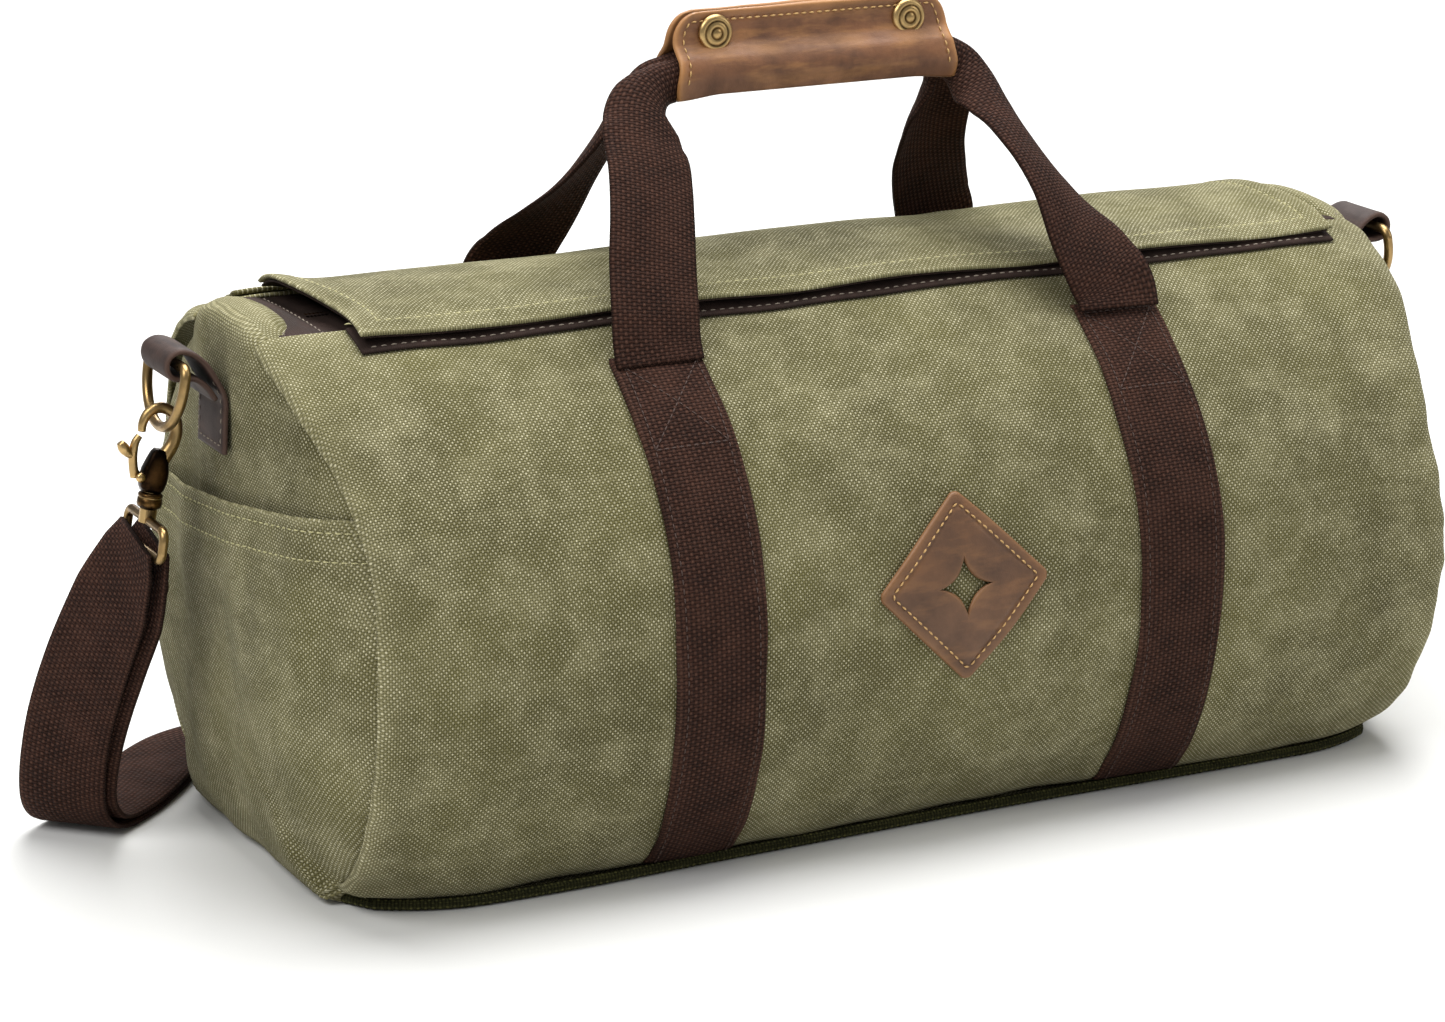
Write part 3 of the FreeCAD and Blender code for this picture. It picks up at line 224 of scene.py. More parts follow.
def leather_material(name, deep, mid, light, rough_low=0.42, rough_high=0.68):
    """Pull-up leather: cloudy, darker where handled, paler on rubbed edges, and on the grip a painted
    highlight along its bend.
    """
    s = Shader(name)
    place = s.cloth_place()
    clouds = s.noise(place, 38.0, 5.0, 0.62)
    streaks = s.noise(s.scaled(place, (30.0, 120.0, 1.0)), 1.0, 4.0, 0.6)
    colour = s.mix(s.spread(clouds, 0.36, 0.64), tone(deep), tone(mid))
    colour = s.mix(s.spread(streaks, 0.48, 0.72, 0.0, 0.55), colour, tone(light))
    # paler by the per-point wear-and-highlight value: rubbed edges are real wear, the band along the grip's
    # bend is painted highlight
    colour = s.mix(s.spread(s.wear_and_highlight(), 0.0, 1.0, 0.0, 0.8), colour, tone(light))
    pores = s.node("TexVoronoi", {"Vector": place, "Scale": 1500.0}, feature="F1").outputs["Distance"]
    creases = s.noise(place, 420.0, 5.0, 0.7)
    grain = s.bump(pores, 0.00012, 0.35)
    raised = s.bump(creases, 0.0003, 0.5, grain)
    return s.finish(colour, s.spread(clouds, 0.3, 0.7, rough_high, rough_low), raised)


def brass_material(name, highlight_tone, mid, dark, patina=0.5):
    """Antique brass: dark in its hollows, with a painted highlight on its pointed edges."""
    s = Shader(name)
    place = s.node("TexCoord").outputs["Object"]
    clouds = s.noise(place, 160.0, 5.0, 0.65)
    # painted highlight: pointiness picks out the sharp edges, which are given the pale highlight tone below
    edge = s.spread(s.node("NewGeometry").outputs["Pointiness"], 0.47, 0.56)
    colour = s.mix(s.spread(clouds, 0.5 - patina * 0.25, 0.78 - patina * 0.25), tone(dark), tone(mid))
    colour = s.mix(s.math("MULTIPLY", edge, 0.85), colour, tone(highlight_tone))
    scratches = s.noise(s.scaled(place, (900.0, 900.0, 260.0)), 1.0, 3.0)
    raised = s.bump(scratches, 0.00006, 0.3)
    return s.finish(colour, s.spread(clouds, 0.3, 0.7, 0.44, 0.24), raised, metallic=1.0)


def thread_material(name, mid, light):
    s = Shader(name)
    place = s.node("TexCoord").outputs["Object"]
    twist = s.noise(place, 2200.0, 2.0)
    colour = s.mix(s.spread(twist, 0.35, 0.65), tone(mid), tone(light))
    return s.finish(colour, 0.8, s.bump(twist, 0.0001, 0.4))


CANVAS = canvas_material("canvas", "#544F2D", "#6A653C", "#928C67", "#DAD4B4")
PIPING = webbing_material("piping_cloth", "#2C2D18", "#434325", "#65633C")
WEBBING = webbing_material("webbing", "#2B1912", "#3E271E", "#573D32")
TRIM = plain_cloth_material("dark_trim", "#2B211C", "#3D2F2A", 0.0009)
LINING = plain_cloth_material("lining_cloth", "#322D28", "#413A33", 0.0007)
ZIP_TAPE = plain_cloth_material("zip_tape_cloth", "#1E1816", "#2B2320", 0.0008)
BOARD = plain_cloth_material("board_face", "#463D34", "#5C5348", 0.0016)
LEATHER = leather_material("tan_leather", "#50301B", "#7C5131", "#AF7C48")
PATCH_LEATHER = leather_material("patch_leather", "#49301E", "#66452B", "#8A6039")
TAB_LEATHER = leather_material("tab_leather", "#20110C", "#331F17", "#523A2E", 0.62, 0.85)
BRASS = brass_material("antique_brass", "#CFAF78", "#73552F", "#261B10", 0.4)
DARK_BRASS = brass_material("dark_brass", "#8A6438", "#3E2917", "#140D08", 0.2)
TAN_THREAD = thread_material("tan_thread", "#A5814F", "#CFA970")
CANVAS_THREAD = thread_material("canvas_thread", "#948F62", "#C2BC90")
DARK_THREAD = thread_material("dark_thread", "#30221D", "#4F3B33")
GREY_THREAD = thread_material("grey_thread", "#6E645B", "#948879")

# ---- mesh helpers ----


def unit(vectors):
    size = np.linalg.norm(vectors, axis=-1, keepdims=True)
    return vectors / np.maximum(size, 1e-9)


def ease(value, low=0.0, high=1.0):
    """0 below low, 1 above high, smooth between."""
    share = np.clip((value - low) / (high - low), 0, 1)
    return share * share * (3 - 2 * share)


def bell(value, centre, width):
    """1 at the centre, falling smoothly to 0 over about twice the width."""
    return np.exp(-((value - centre) / width) ** 2)


def ripple(places, wavelength, seed, waves=14):
    """Smooth unevenness, about -1 to 1, at each place."""
    draw = np.random.default_rng(seed)
    headings = unit(draw.normal(size=(waves, places.shape[-1])))
    phases = draw.uniform(0, 2 * math.pi, waves)
    stretches = draw.uniform(0.7, 1.6, waves)
    total = np.zeros(places.shape[:-1])
    for heading, phase, stretch in zip(headings, phases, stretches):
        total += np.sin(places @ heading * 2 * math.pi / (wavelength * stretch) + phase)
    return total / (waves * 0.5) ** 0.5 / 1.4


def make_piece(name, points, faces, material, uv=None, wear_and_highlight=None):
    """A smooth mesh object from points in millimetres; uv is in metres of cloth."""
    mesh = bpy.data.meshes.new(name)
    mesh.from_pydata((np.asarray(points, float) * MM).tolist(), [], faces)
    mesh.shade_smooth()
    corners = np.empty(len(mesh.loops), int)
    mesh.loops.foreach_get("vertex_index", corners)
    if uv is None:
        uv = np.asarray(points)[:, :2] * MM
    layer = mesh.uv_layers.new(name="cloth")
    layer.data.foreach_set("uv", np.asarray(uv, np.float32)[corners].ravel())
    worn = mesh.attributes.new("wear_and_highlight", "FLOAT", "POINT")
    worn.data.foreach_set("value", np.zeros(len(points), np.float32) if wear_and_highlight is None
                          else np.asarray(wear_and_highlight, np.float32).ravel())
    mesh.materials.append(material)
    piece = bpy.data.objects.new(name, mesh)
    bpy.context.scene.collection.objects.link(piece)
    return piece


def grid_faces(index, flip=False):
    a = index[:-1, :-1].ravel()
    b = index[1:, :-1].ravel()
    c = index[1:, 1:].ravel()
    d = index[:-1, 1:].ravel()
    quads = np.stack([a, d, c, b] if flip else [a, b, c, d], axis=1)
    return quads.tolist()


def grid_normals(points, closed=False):
    first = np.gradient(points, axis=0)
    if closed:
        second = np.roll(points, -1, axis=1) - np.roll(points, 1, axis=1)
    else:
        second = np.gradient(points, axis=1)
    return unit(np.cross(first, second))


def travelled(points):
    """Length of cloth from the first row and from the first column, in metres, for uv."""
    down = np.linalg.norm(np.diff(points, axis=0), axis=-1)
    over = np.linalg.norm(np.diff(points, axis=1), axis=-1)
    first = np.concatenate([np.zeros((1, points.shape[1])), np.cumsum(down, axis=0)])
    second = np.concatenate([np.zeros((points.shape[0], 1)), np.cumsum(over, axis=1)], axis=1)
    return np.stack([first, second], axis=-1) * MM


def shell(name, points, thick, material, uv=None, wear_and_highlight=None, inside=(0, 0, 95), closed=False):
    """A sheet of the given thickness with a round rim. points[i, j] is its outer face;
    inside is a point on the other side of it; closed joins its last column to its first."""
    if uv is None:
        uv = travelled(points)
    if wear_and_highlight is None:
        wear_and_highlight = np.zeros(points.shape[:2])
    normals = grid_normals(points, closed)
    if np.sum(normals * (points - np.array(inside, float))) < 0:
        normals = -normals
    beside = 0 if closed else 1
    wide = ((1, 1), (beside, beside), (0, 0))
    outer = np.pad(points, wide, mode="edge")
    normals = np.pad(normals, wide, mode="edge")
    uv = np.pad(uv, wide, mode="edge")
    wear_and_highlight = np.pad(wear_and_highlight, wide[:2], mode="edge")
    reach = thick * 0.45
    outer[0] += unit(outer[1] - outer[2]) * reach
    outer[-1] += unit(outer[-2] - outer[-3]) * reach
    rows, columns = outer.shape[:2]
    within = np.zeros((rows, columns), bool)
    if closed:
        within[1:-1] = True
    else:
        outer[:, 0] += unit(outer[:, 1] - outer[:, 2]) * reach
        outer[:, -1] += unit(outer[:, -2] - outer[:, -3]) * reach
        within[1:-1, 1:-1] = True
    top = np.where(within[..., None], outer, outer - normals * thick * 0.5)
    low = (outer - normals * thick)[within]
    top_index = np.arange(rows * columns).reshape(rows, columns)
    low_index = top_index.copy()
    low_index[within] = rows * columns + np.arange(len(low))
    flip = np.sum(grid_normals(top) * normals) < 0
    if closed:
        top_index = np.concatenate([top_index, top_index[:, :1]], axis=1)
        low_index = np.concatenate([low_index, low_index[:, :1]], axis=1)
    faces = grid_faces(top_index, flip) + grid_faces(low_index, not flip)
    every = np.concatenate([top.reshape(-1, 3), low])
    every_uv = np.concatenate([uv.reshape(-1, 2), uv[within]])
    every_wear = np.concatenate([wear_and_highlight.ravel(), wear_and_highlight[within]])
    return make_piece(name, every, faces, material, every_uv, every_wear)


def distances(path):
    """How far along a path each of its points is."""
    return np.concatenate([[0], np.cumsum(np.linalg.norm(np.diff(path, axis=0), axis=1))])


def sampled(places, travel, rows):
    """Rows of values read off at places along a path."""
    return np.stack([np.interp(places, travel, column) for column in np.transpose(rows)], axis=1)


def smooth_path(stations, count):
    """A curve through the stations, sampled evenly."""
    stations = np.asarray(stations, float)
    knots = distances(stations[:, :3])
    slopes = np.gradient(stations, knots, axis=0)
    found = []
    for at in np.linspace(0, knots[-1], count):
        i = min(int(np.searchsorted(knots, at, side="right")) - 1, len(knots) - 2)
        gap = knots[i + 1] - knots[i]
        t = (at - knots[i]) / gap
        found.append((2 * t**3 - 3 * t**2 + 1) * stations[i]
                     + (t**3 - 2 * t**2 + t) * gap * slopes[i]
                     + (3 * t**2 - 2 * t**3) * stations[i + 1]
                     + (t**3 - t**2) * gap * slopes[i + 1])
    return np.array(found)


def frames(path, across=None, closed=False):
    """Travel, side and up directions along a path."""
    if closed:
        travel = unit(np.roll(path, -1, axis=0) - np.roll(path, 1, axis=0))
    else:
        travel = unit(np.gradient(path, axis=0))
    if across is not None:
        side = unit(across - travel * np.sum(across * travel, axis=1, keepdims=True))
        return travel, side, np.cross(travel, side)
    first = np.cross(travel[0], (0, 0, 1))
    if np.linalg.norm(first) < 0.1:
        first = np.cross(travel[0], (0, 1, 0))
    sides = [unit(first)]
    for heading in travel[1:]:
        side = sides[-1] - heading * np.dot(sides[-1], heading)
        sides.append(unit(side))
    side = np.array(sides)
    return travel, side, np.cross(travel, side)


def sweep(name, path, section, material, across=None, closed=False, wear_and_highlight=None):
    """A closed section, (side, up) offsets, carried along a path; section may change on the way."""
    path = np.asarray(path, float)
    section = np.asarray(section, float)
    if section.ndim == 2:
        section = np.broadcast_to(section, (len(path),) + section.shape)
    travel, side, up = frames(path, across, closed)
    points = (path[:, None] + side[:, None] * section[:, :, :1] + up[:, None] * section[:, :, 1:])
    rows, columns = points.shape[:2]
    index = np.arange(rows * columns).reshape(rows, columns)
    index = np.concatenate([index, index[:, :1]], axis=1)
    if closed:
        index = np.concatenate([index, index[:1]])
    faces = grid_faces(index, True)
    if not closed:
        faces.append(list(range(columns - 1, -1, -1)))
        faces.append(list(range((rows - 1) * columns, rows * columns)))
    uv = np.stack(np.meshgrid(distances(path), distances(section[0]), indexing="ij")[::-1], axis=-1) * MM
    if wear_and_highlight is not None:
        wear_and_highlight = np.broadcast_to(wear_and_highlight, (rows, columns))
    return make_piece(name, points.reshape(-1, 3), faces, material, uv.reshape(-1, 2), wear_and_highlight)


def circle(sides):
    """Angles evenly round a circle."""
    return np.arange(sides) * 2 * math.pi / sides


def tube(name, path, radius, material, sides=14, closed=False):
    """A round rod along a path; radius may be one number or one for each point."""
    turns = circle(sides)
    ring = np.stack([np.cos(turns), np.sin(turns)], axis=1)
    sections = np.broadcast_to(radius, (len(path),))[:, None, None] * ring
    return sweep(name, path, sections, material, closed=closed)


def strip_section(width, thick, curl=0.0, squeeze=1.0, cells=12):
    """A flat strip's section; curl bends it round by that many radians."""
    places = np.linspace(-0.5, 0.5, cells + 1) * width
    half = np.full(cells + 1, thick * 0.5)
    half[0] = half[-1] = thick * 0.28
    bend = max(curl, 1e-3)
    radius = width / bend
    turns = places / radius
    middle = np.stack([radius * np.sin(turns), radius * (1 - np.cos(turns))], axis=1)
    middle[:, 1] -= middle[:, 1].mean()
    normal = np.stack([-np.sin(turns), np.cos(turns)], axis=1)
    loop = np.concatenate([middle - normal * half[:, None], (middle + normal * half[:, None])[::-1]])
    loop[:, 1] *= squeeze
    return loop


def lathe(name, profile, centre, axis, material, sides=40):
    """A turned shape: profile is (radius, height) pairs, height measured along axis from centre."""
    axis = unit(np.array(axis, float))
    first = np.cross(axis, (0, 1, 0)) if abs(axis[1]) < 0.9 else np.cross(axis, (1, 0, 0))
    first = unit(first)
    second = np.cross(axis, first)
    turns = circle(sides)
    ring = np.cos(turns)[:, None] * first + np.sin(turns)[:, None] * second
    rows = [np.array(centre) + ring * r + axis * h for r, h in profile]
    points = np.concatenate(rows)
    index = np.arange(len(points)).reshape(len(profile), sides)
    index = np.concatenate([index, index[:, :1]], axis=1)
    faces = grid_faces(index, False)
    faces.append(list(range(sides)))
    faces.append(list(range(len(points) - 1, len(points) - sides - 1, -1)))
    return make_piece(name, points, faces, material, None, None)


def joined(name, bits, material):
    """One object from several (points, faces) bits."""
    points = []
    faces = []
    start = 0
    for bit_points, bit_faces in bits:
        points.append(np.asarray(bit_points, float))
        faces += [[i + start for i in face] for face in bit_faces]
        start += len(bit_points)
    return make_piece(name, np.concatenate(points), faces, material, None, None)


def stitch_row(name, path, up, material, pitch=4.2, length=3.0, thick=0.42, closed=False):
    """Stitches along a path on a surface; up is the surface's outward direction at each point."""
    path = np.asarray(path, float)
    up = np.broadcast_to(np.asarray(up, float), path.shape)
    if closed:
        path = np.concatenate([path, path[:1]])
        up = np.concatenate([up, up[:1]])
    travel = distances(path)
    count = max(int(travel[-1] / pitch), 1)
    places = (np.arange(count) + 0.5) * travel[-1] / count
    centres = sampled(places, travel, path)
    ups = unit(sampled(places, travel, up))
    heading = unit(sampled(places + 0.5, travel, path) - sampled(places - 0.5, travel, path))
    sides = np.cross(heading, ups)
    rings = 5
    around = 6
    turns = circle(around)
    bits = []
    index = np.arange(rings * around).reshape(rings, around)
    index = np.concatenate([index, index[:, :1]], axis=1)
    faces = grid_faces(index, True)
    faces.append(list(range(around - 1, -1, -1)))
    faces.append(list(range((rings - 1) * around, rings * around)))
    for centre, forward, across, high in zip(centres, heading, sides, ups):
        points = []
        for step in np.linspace(-1, 1, rings):
            fat = thick * (1 - 0.75 * step * step)
            dip = -thick * 0.9 * step * step
            middle = centre + forward * step * length / 2 + high * dip
            for turn in turns:
                points.append(middle + across * fat * math.cos(turn) + high * fat * 0.8 * math.sin(turn))
        bits.append((points, faces))
    return joined(name, bits, material)


def merge(name, pieces):
    """Joins pieces of one material into one object."""
    base = pieces[0]
    with bpy.context.temp_override(active_object=base, selected_editable_objects=pieces):
        bpy.ops.object.join()
    base.name = name
    base.data.name = name
    return base


# ---- the barrel ----
AXIS = 95.0
RADIUS = 132.0
MOUTH_ANGLE = 74.0
FOOT_HEIGHT = 3.0
SEAM_ANGLES = (-60, -36, -15, 3, 24, 44, 55, 71, 80)
SEAM_REACHES = (246, 249, 249, 248, 245, 250, 256, 259, 260)
RIGHT_SHORTER = 6.0
# soft dents in the canvas: face, x, angle, size along x, size round the barrel, depth
DENTS = (
    (-1, -222, 44, 26, 9, 3.4), (-1, -188, 12, 30, 14, 1.8), (-1, -225, -12, 18, 16, 2.0),
    (-1, -150, 60, 40, 8, 1.2), (-1, -40, 52, 60, 10, 1.6), (-1, 40, 20, 50, 16, 1.2),
    (-1, 165, 48, 34, 12, 1.6), (-1, 205, 0, 26, 18, 2.0), (-1, -30, -28, 50, 9, 1.5),
    (1, -190, 30, 40, 12, 2.4), (1, -60, 44, 60, 12, 1.6), (1, 60, 0, 70, 18, 1.8),
    (1, 190, 36, 36, 12, 2.2), (1, 0, -24, 60, 9, 1.6))


def round_axis(x, radius, degrees):
    """Places at a radius from the barrel's axis: 0 degrees is the front, 90 the top, 180 the back."""
    turn = np.radians(degrees)
    return np.stack(np.broadcast_arrays(x, -radius * np.cos(turn), AXIS + radius * np.sin(turn)), axis=-1)


def seam_reach(end, angle):
    """How far out the seam between a long panel and an end panel lies."""
    reach = np.interp(angle, SEAM_ANGLES, SEAM_REACHES)
    return reach - np.where(np.asarray(end) > 0, RIGHT_SHORTER, 0.0)


def base_half_depth(x):
    """Half depth of the base at x: it narrows towards the ends and swells between them."""
    corner = np.clip((np.abs(x) - 192) / 54, 0, 1)
    swell = 3.0 * bell(x, -160, 60) - 2.0 * bell(x, 45, 70)
    return 98.0 + swell - 21.0 * corner**2


def foot_angle(x):
    return np.degrees(np.arctan2(FOOT_HEIGHT - AXIS, base_half_depth(x)))


def barrel_radius(side, x, angle):
    x, angle = np.broadcast_arrays(np.asarray(x, float), np.asarray(angle, float))
    foot = foot_angle(x)
    foot_radius = np.hypot(base_half_depth(x), AXIS - FOOT_HEIGHT)
    above = np.maximum(angle - foot, 0)
    radius = RADIUS + (foot_radius - RADIUS) * np.exp(-above / 13)
    radius = radius - 2.0 * bell(above, 0, 2.5)
    inset = seam_reach(np.sign(x), angle) - np.abs(x)
    roll = np.clip(1 - inset / 8, 0, 1)
    radius = radius - 4.5 * (1 - np.sqrt(1 - roll**2 * 0.999)) - 1.6 * np.exp(-inset / 22)
    places = np.stack([x, angle * 2.3, np.full(x.shape, side * 40.0)], axis=-1)
    radius = radius + 0.9 * ripple(places, 95.0, 5) + 0.35 * ripple(places, 34.0, 6)
    pucker = ripple(places * (0.35, 1.0, 1.0), 16.0, 7)
    radius = radius + pucker * (0.7 * np.exp(-inset / 16) + 0.35 * np.exp(-above / 7)) * (roll < 0.9)
    for face, at_x, at_angle, wide, tall, depth in DENTS:
        if face == side:
            radius = radius - depth * np.exp(-((x - at_x) / wide) ** 2 - ((angle - at_angle) / tall) ** 2)
    return radius


def on_barrel(side, x, angle, lift=0.0):
    """Points lift millimetres outside the canvas barrel; side is -1 at the front, 1 at the back."""
    x, angle = np.broadcast_arrays(np.asarray(x, float), np.asarray(angle, float))
    radius = barrel_radius(side, x, angle) + lift
    turn = np.radians(angle)
    return np.stack([x, side * radius * np.cos(turn), AXIS + radius * np.sin(turn)], axis=-1)


def long_panel(face, side):
    share = np.linspace(0, 1, 300)
    edge = 0.5 - 0.5 * np.cos(share * math.pi)
    share = 0.75 * share + 0.25 * edge
    rise = np.linspace(0, 1, 96)
    foot = foot_angle(-seam_reach(-1, -44) * (1 - share) + seam_reach(1, -44) * share)
    angle = foot[:, None] + (MOUTH_ANGLE - foot[:, None]) * rise[None, :]
    x = -seam_reach(-1, angle) * (1 - share[:, None]) + seam_reach(1, angle) * share[:, None]
    points = on_barrel(side, x, angle)
    inset = np.minimum(seam_reach(-1, angle) + x, seam_reach(1, angle) - x)
    wear_and_highlight = 0.75 * np.exp(-inset / 5) + 0.45 * np.exp(-(angle - foot[:, None]) / 3.0)
    # painted highlight: the canvas is made paler towards the top of each long panel, where the light falls
    wear_and_highlight = wear_and_highlight + 0.25 * ease(angle, 60, 74)
    uv = np.stack([x, np.radians(angle) * RADIUS], axis=-1) * MM
    panel = shell(face + "_canvas", points, 1.8, CANVAS, uv, wear_and_highlight)
    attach(panel, "bag")
    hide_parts(face + "_panel")


for face, side in FACES:
    long_panel(face, side)

# ---- the ends: a domed panel whose canvas folds in over the top, and a pocket on it ----
END_MIDDLE = 263.0
LIP = 12.0


def end_outline(turn):
    """Radius of an end's edge at a turn in degrees: 0 front, 90 top, 180 back."""
    angle = 90 - np.abs(np.asarray(turn, float) - 90)
    foot = foot_angle(246.0)
    foot_radius = (AXIS - FOOT_HEIGHT) / np.sin(np.radians(-foot))
    round_radius = 124.5 + (foot_radius - 2 - 124.5) * np.exp(-np.maximum(angle - foot, 0) / 13)
    round_radius = round_radius + 6.0 * ease(angle, 62, 78)
    flat_radius = (AXIS - 0.9) / np.maximum(np.sin(np.radians(-np.minimum(angle, -1))), 0.2)
    return np.where(angle < foot, flat_radius, round_radius), angle


def end_reach(end, turn, share):
    """How far out the end panel's face lies at a share of the way from its middle to its edge."""
    outline, angle = end_outline(turn)
    edge = seam_reach(end, np.maximum(angle, -46)) - 6.4
    edge = edge + 6.4 * ease(angle, 62, 80) + 9.4 * ease(-angle, 46, 54)
    middle = END_MIDDLE - (RIGHT_SHORTER if end > 0 else 0.0)
    dome = middle + (edge - middle) * share**4.2
    round_off = 4.5 * (1 - np.sqrt(1 - np.clip((share - 0.94) / 0.06, 0, 1) ** 2 * 0.999))
    y = share * outline * np.cos(np.radians(turn))
    z = share * outline * np.sin(np.radians(turn))
    places = np.stack(np.broadcast_arrays(y, z, end * 30.0), axis=-1)
    sag = 0.9 * ripple(places, 80.0, 11) + 0.4 * ripple(places, 30.0, 12)
    crease = 2.6 * np.exp(-((y + 62 + 0.25 * z) / 13) ** 2) * ease(z, 10, 60) * ease(-share, -0.97, -0.8)
    crease = crease - 1.8 * np.exp(-((y + 92 + 0.2 * z) / 10) ** 2) * ease(-share, -0.97, -0.85)
    return dome - round_off + sag * ease(1 - share, 0, 0.2) + crease * np.ones_like(dome)


def end_face(end, y, z, lift=0.0):
    """Points on an end panel's face over (y, z), for pieces sewn to it."""
    y, z = np.broadcast_arrays(np.asarray(y, float), np.asarray(z, float))
    turn = np.degrees(np.arctan2(z - AXIS, -y))
    turn = np.where(turn < -90, turn + 360, turn)
    outline, angle = end_outline(turn)
    share = np.clip(np.hypot(y, z - AXIS) / outline, 0, 1)
    return np.stack([end * (end_reach(end, turn, share) + lift), y, z], axis=-1)


def end_panel(end_name, end):
    turn = np.linspace(-90, 270, 180, endpoint=False)
    share = np.concatenate([np.linspace(0.02, 0.9, 26), np.linspace(0.92, 1.0, 12)])
    outline, angle = end_outline(turn)
    rows = []
    for s in share:
        rows.append(round_axis(end * end_reach(end, turn, s), outline * s, turn))
    top = ease(angle, 66, 82)
    edge_reach = end_reach(end, turn, 1.0)
    for inward in (0.12, 0.3, 0.5, 0.7, 0.85, 1.0):
        run = inward * (3.0 + LIP * top)
        swell = 2.4 * np.sin(inward * math.pi) * top
        radius = outline + swell - 2.0 * inward * inward * (1 - top)
        rows.append(round_axis(end * (edge_reach - run), radius, turn))
    points = np.array(rows)
    wear_and_highlight = np.zeros(points.shape[:2])
    wear_and_highlight[36:41] = 0.9 * top
    wear_and_highlight[33:38] = np.maximum(wear_and_highlight[33:38], 0.35)
    uv = points[..., 1:] * MM + (0.5 + end, 0.3)
    uv[38:, :, 1] += (np.arange(6) * 3.0 * MM)[:, None]
    piece = shell(end_name + "_end_canvas", points, 1.6, CANVAS, uv, wear_and_highlight, closed=True)
    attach(piece, "bag")
    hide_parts("end_panel_" + end_name)


def hem_height(y):
    """Height of the pocket's mouth, which dips towards the back."""
    return 155.5 + 11.0 * np.clip(-y / 120, -1, 1) - 3.0 * np.cos(y / 120 * math.pi / 2)


def outline_half_depth(z):
    """Half depth of an end at height z."""
    turns = np.linspace(-50, 90, 400)
    outline, angle = end_outline(turns)
    return np.interp(z, AXIS + outline * np.sin(np.radians(turns)), outline * np.cos(np.radians(turns)))


def pocket_lift(across, rise, end):
    """How far the pocket stands off the end panel."""
    side_in = 1 - np.abs(across) ** 4
    puff = 4.5 * side_in * np.sin(np.clip(rise, 0, 1) * math.pi * 0.62) ** 1.2
    places = np.stack(np.broadcast_arrays(across * 110, rise * 150, end * 20.0), axis=-1)
    return 2.0 + puff + 0.7 * ripple(places, 60.0, 21) * side_in


# how far below the pocket's top its two rows of stitches run
HEM_ROWS = (4.5, 15.5)


def end_pocket(end_name, end):
    across = np.linspace(-1, 1, 120)
    across = 0.6 * across + 0.4 * np.sin(across * math.pi / 2)
    rise = np.concatenate([np.linspace(0, 0.85, 50), np.linspace(0.86, 1.0, 26)])
    bottom = 4.0
    a, b = np.meshgrid(across, rise, indexing="ij")
    z = bottom + b * (hem_height(a * 115) - bottom)
    half = outline_half_depth(z) - 2.0
    y = a * half
    z = bottom + b * (hem_height(y) - bottom)
    below_hem = hem_height(y) - z
    lift = pocket_lift(a, b, end)
    lift = lift + 0.8 * ease(-below_hem, -18.5, -16.5)
    for row in HEM_ROWS:
        lift = lift - 0.6 * bell(below_hem, row, 0.9)
    points = end_face(end, y, z, 0.0)
    points[..., 0] += end * lift
    wear_and_highlight = 0.85 * np.exp(-below_hem / 1.6) + 0.4 * bell(below_hem, 16.5, 1.4)
    wear_and_highlight = wear_and_highlight + 0.4 * np.exp(-(half - np.abs(y)) / 4)
    uv = np.stack([y, z], axis=-1) * MM + (0.2, 0.7 + end)
    pocket = shell(end_name + "_pocket_canvas", points, 1.5, CANVAS, uv, wear_and_highlight)
    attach(pocket, "bag")
    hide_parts("end_pocket_" + end_name)
    for row, down in enumerate(HEM_ROWS):
        line = np.linspace(-0.97, 0.97, 160)
        y = line * outline_half_depth(148.0 - down)
        z = hem_height(y) - down
        share = (z - bottom) / (hem_height(y) - bottom)
        path = end_face(end, y, z, 0.0)
        path[:, 0] += end * (pocket_lift(line, share, end) + 0.5)
        stitches = stitch_row("%s_pocket_stitches_%d" % (end_name, row + 1), path, (end, 0, 0),
                              CANVAS_THREAD, pitch=4.4, length=3.0, thick=0.4)
        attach(stitches, "bag")


for end_name, end in ENDS:
    end_panel(end_name, end)
    end_pocket(end_name, end)

# ---- base and piping ----


def base_edge(inset=0.0):
    """The outline of the base, anticlockwise from the front left corner."""
    left = -(seam_reach(-1, -44) - 6.0 - inset)
    right = seam_reach(1, -44) - 6.0 - inset
    x = np.linspace(left + 7, right - 7, 90)
    front = np.stack([x, -(base_half_depth(x) - inset)], axis=-1)
    back = np.stack([x[::-1], (base_half_depth(x[::-1]) - inset)], axis=-1)
    half_right = base_half_depth(right) - inset
    half_left = base_half_depth(left) - inset
    end_y = np.linspace(-half_right + 7, half_right - 7, 30)
    right_side = np.stack([np.full(30, right) + 2.0 * np.cos(end_y / half_right * 1.5), end_y], axis=-1)
    end_y = np.linspace(half_left - 7, -half_left + 7, 30)
    left_side = np.stack([np.full(30, left) - 2.0 * np.cos(end_y / half_left * 1.5), end_y], axis=-1)
    return np.concatenate([front, right_side, back, left_side])


outline = base_edge()
piping_path = np.concatenate([outline, np.full((len(outline), 1), 2.6)], axis=1)
ribs = np.concatenate([piping_path, piping_path[:1]])
along = distances(ribs)
fine = np.linspace(0, along[-1], 900, endpoint=False)
piping_path = sampled(fine, along, ribs)
middle = piping_path[:, :2].mean(axis=0)
outward = unit(piping_path[:, :2] - middle)
piping_path[:, :2] += outward * 0.6
piping = tube("base_piping_cord", piping_path, 2.3 + 0.16 * np.sin(fine * 2 * math.pi / 3.2), PIPING,
              closed=True)
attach(piping, "bag")
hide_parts("base_piping")

rim = base_edge(inset=2.5)
shares = np.linspace(0.02, 1.0, 16)
points = np.array([np.concatenate([rim * s, np.full((len(rim), 1), 0.9 + 0.5 * (1 - s))], axis=1)
                   for s in shares])
base = shell("base_canvas", points, 1.4, CANVAS, points[..., :2] * MM + 3.0, closed=True,
             inside=(0, 0, 50))
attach(base, "bag")
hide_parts("base_panel")

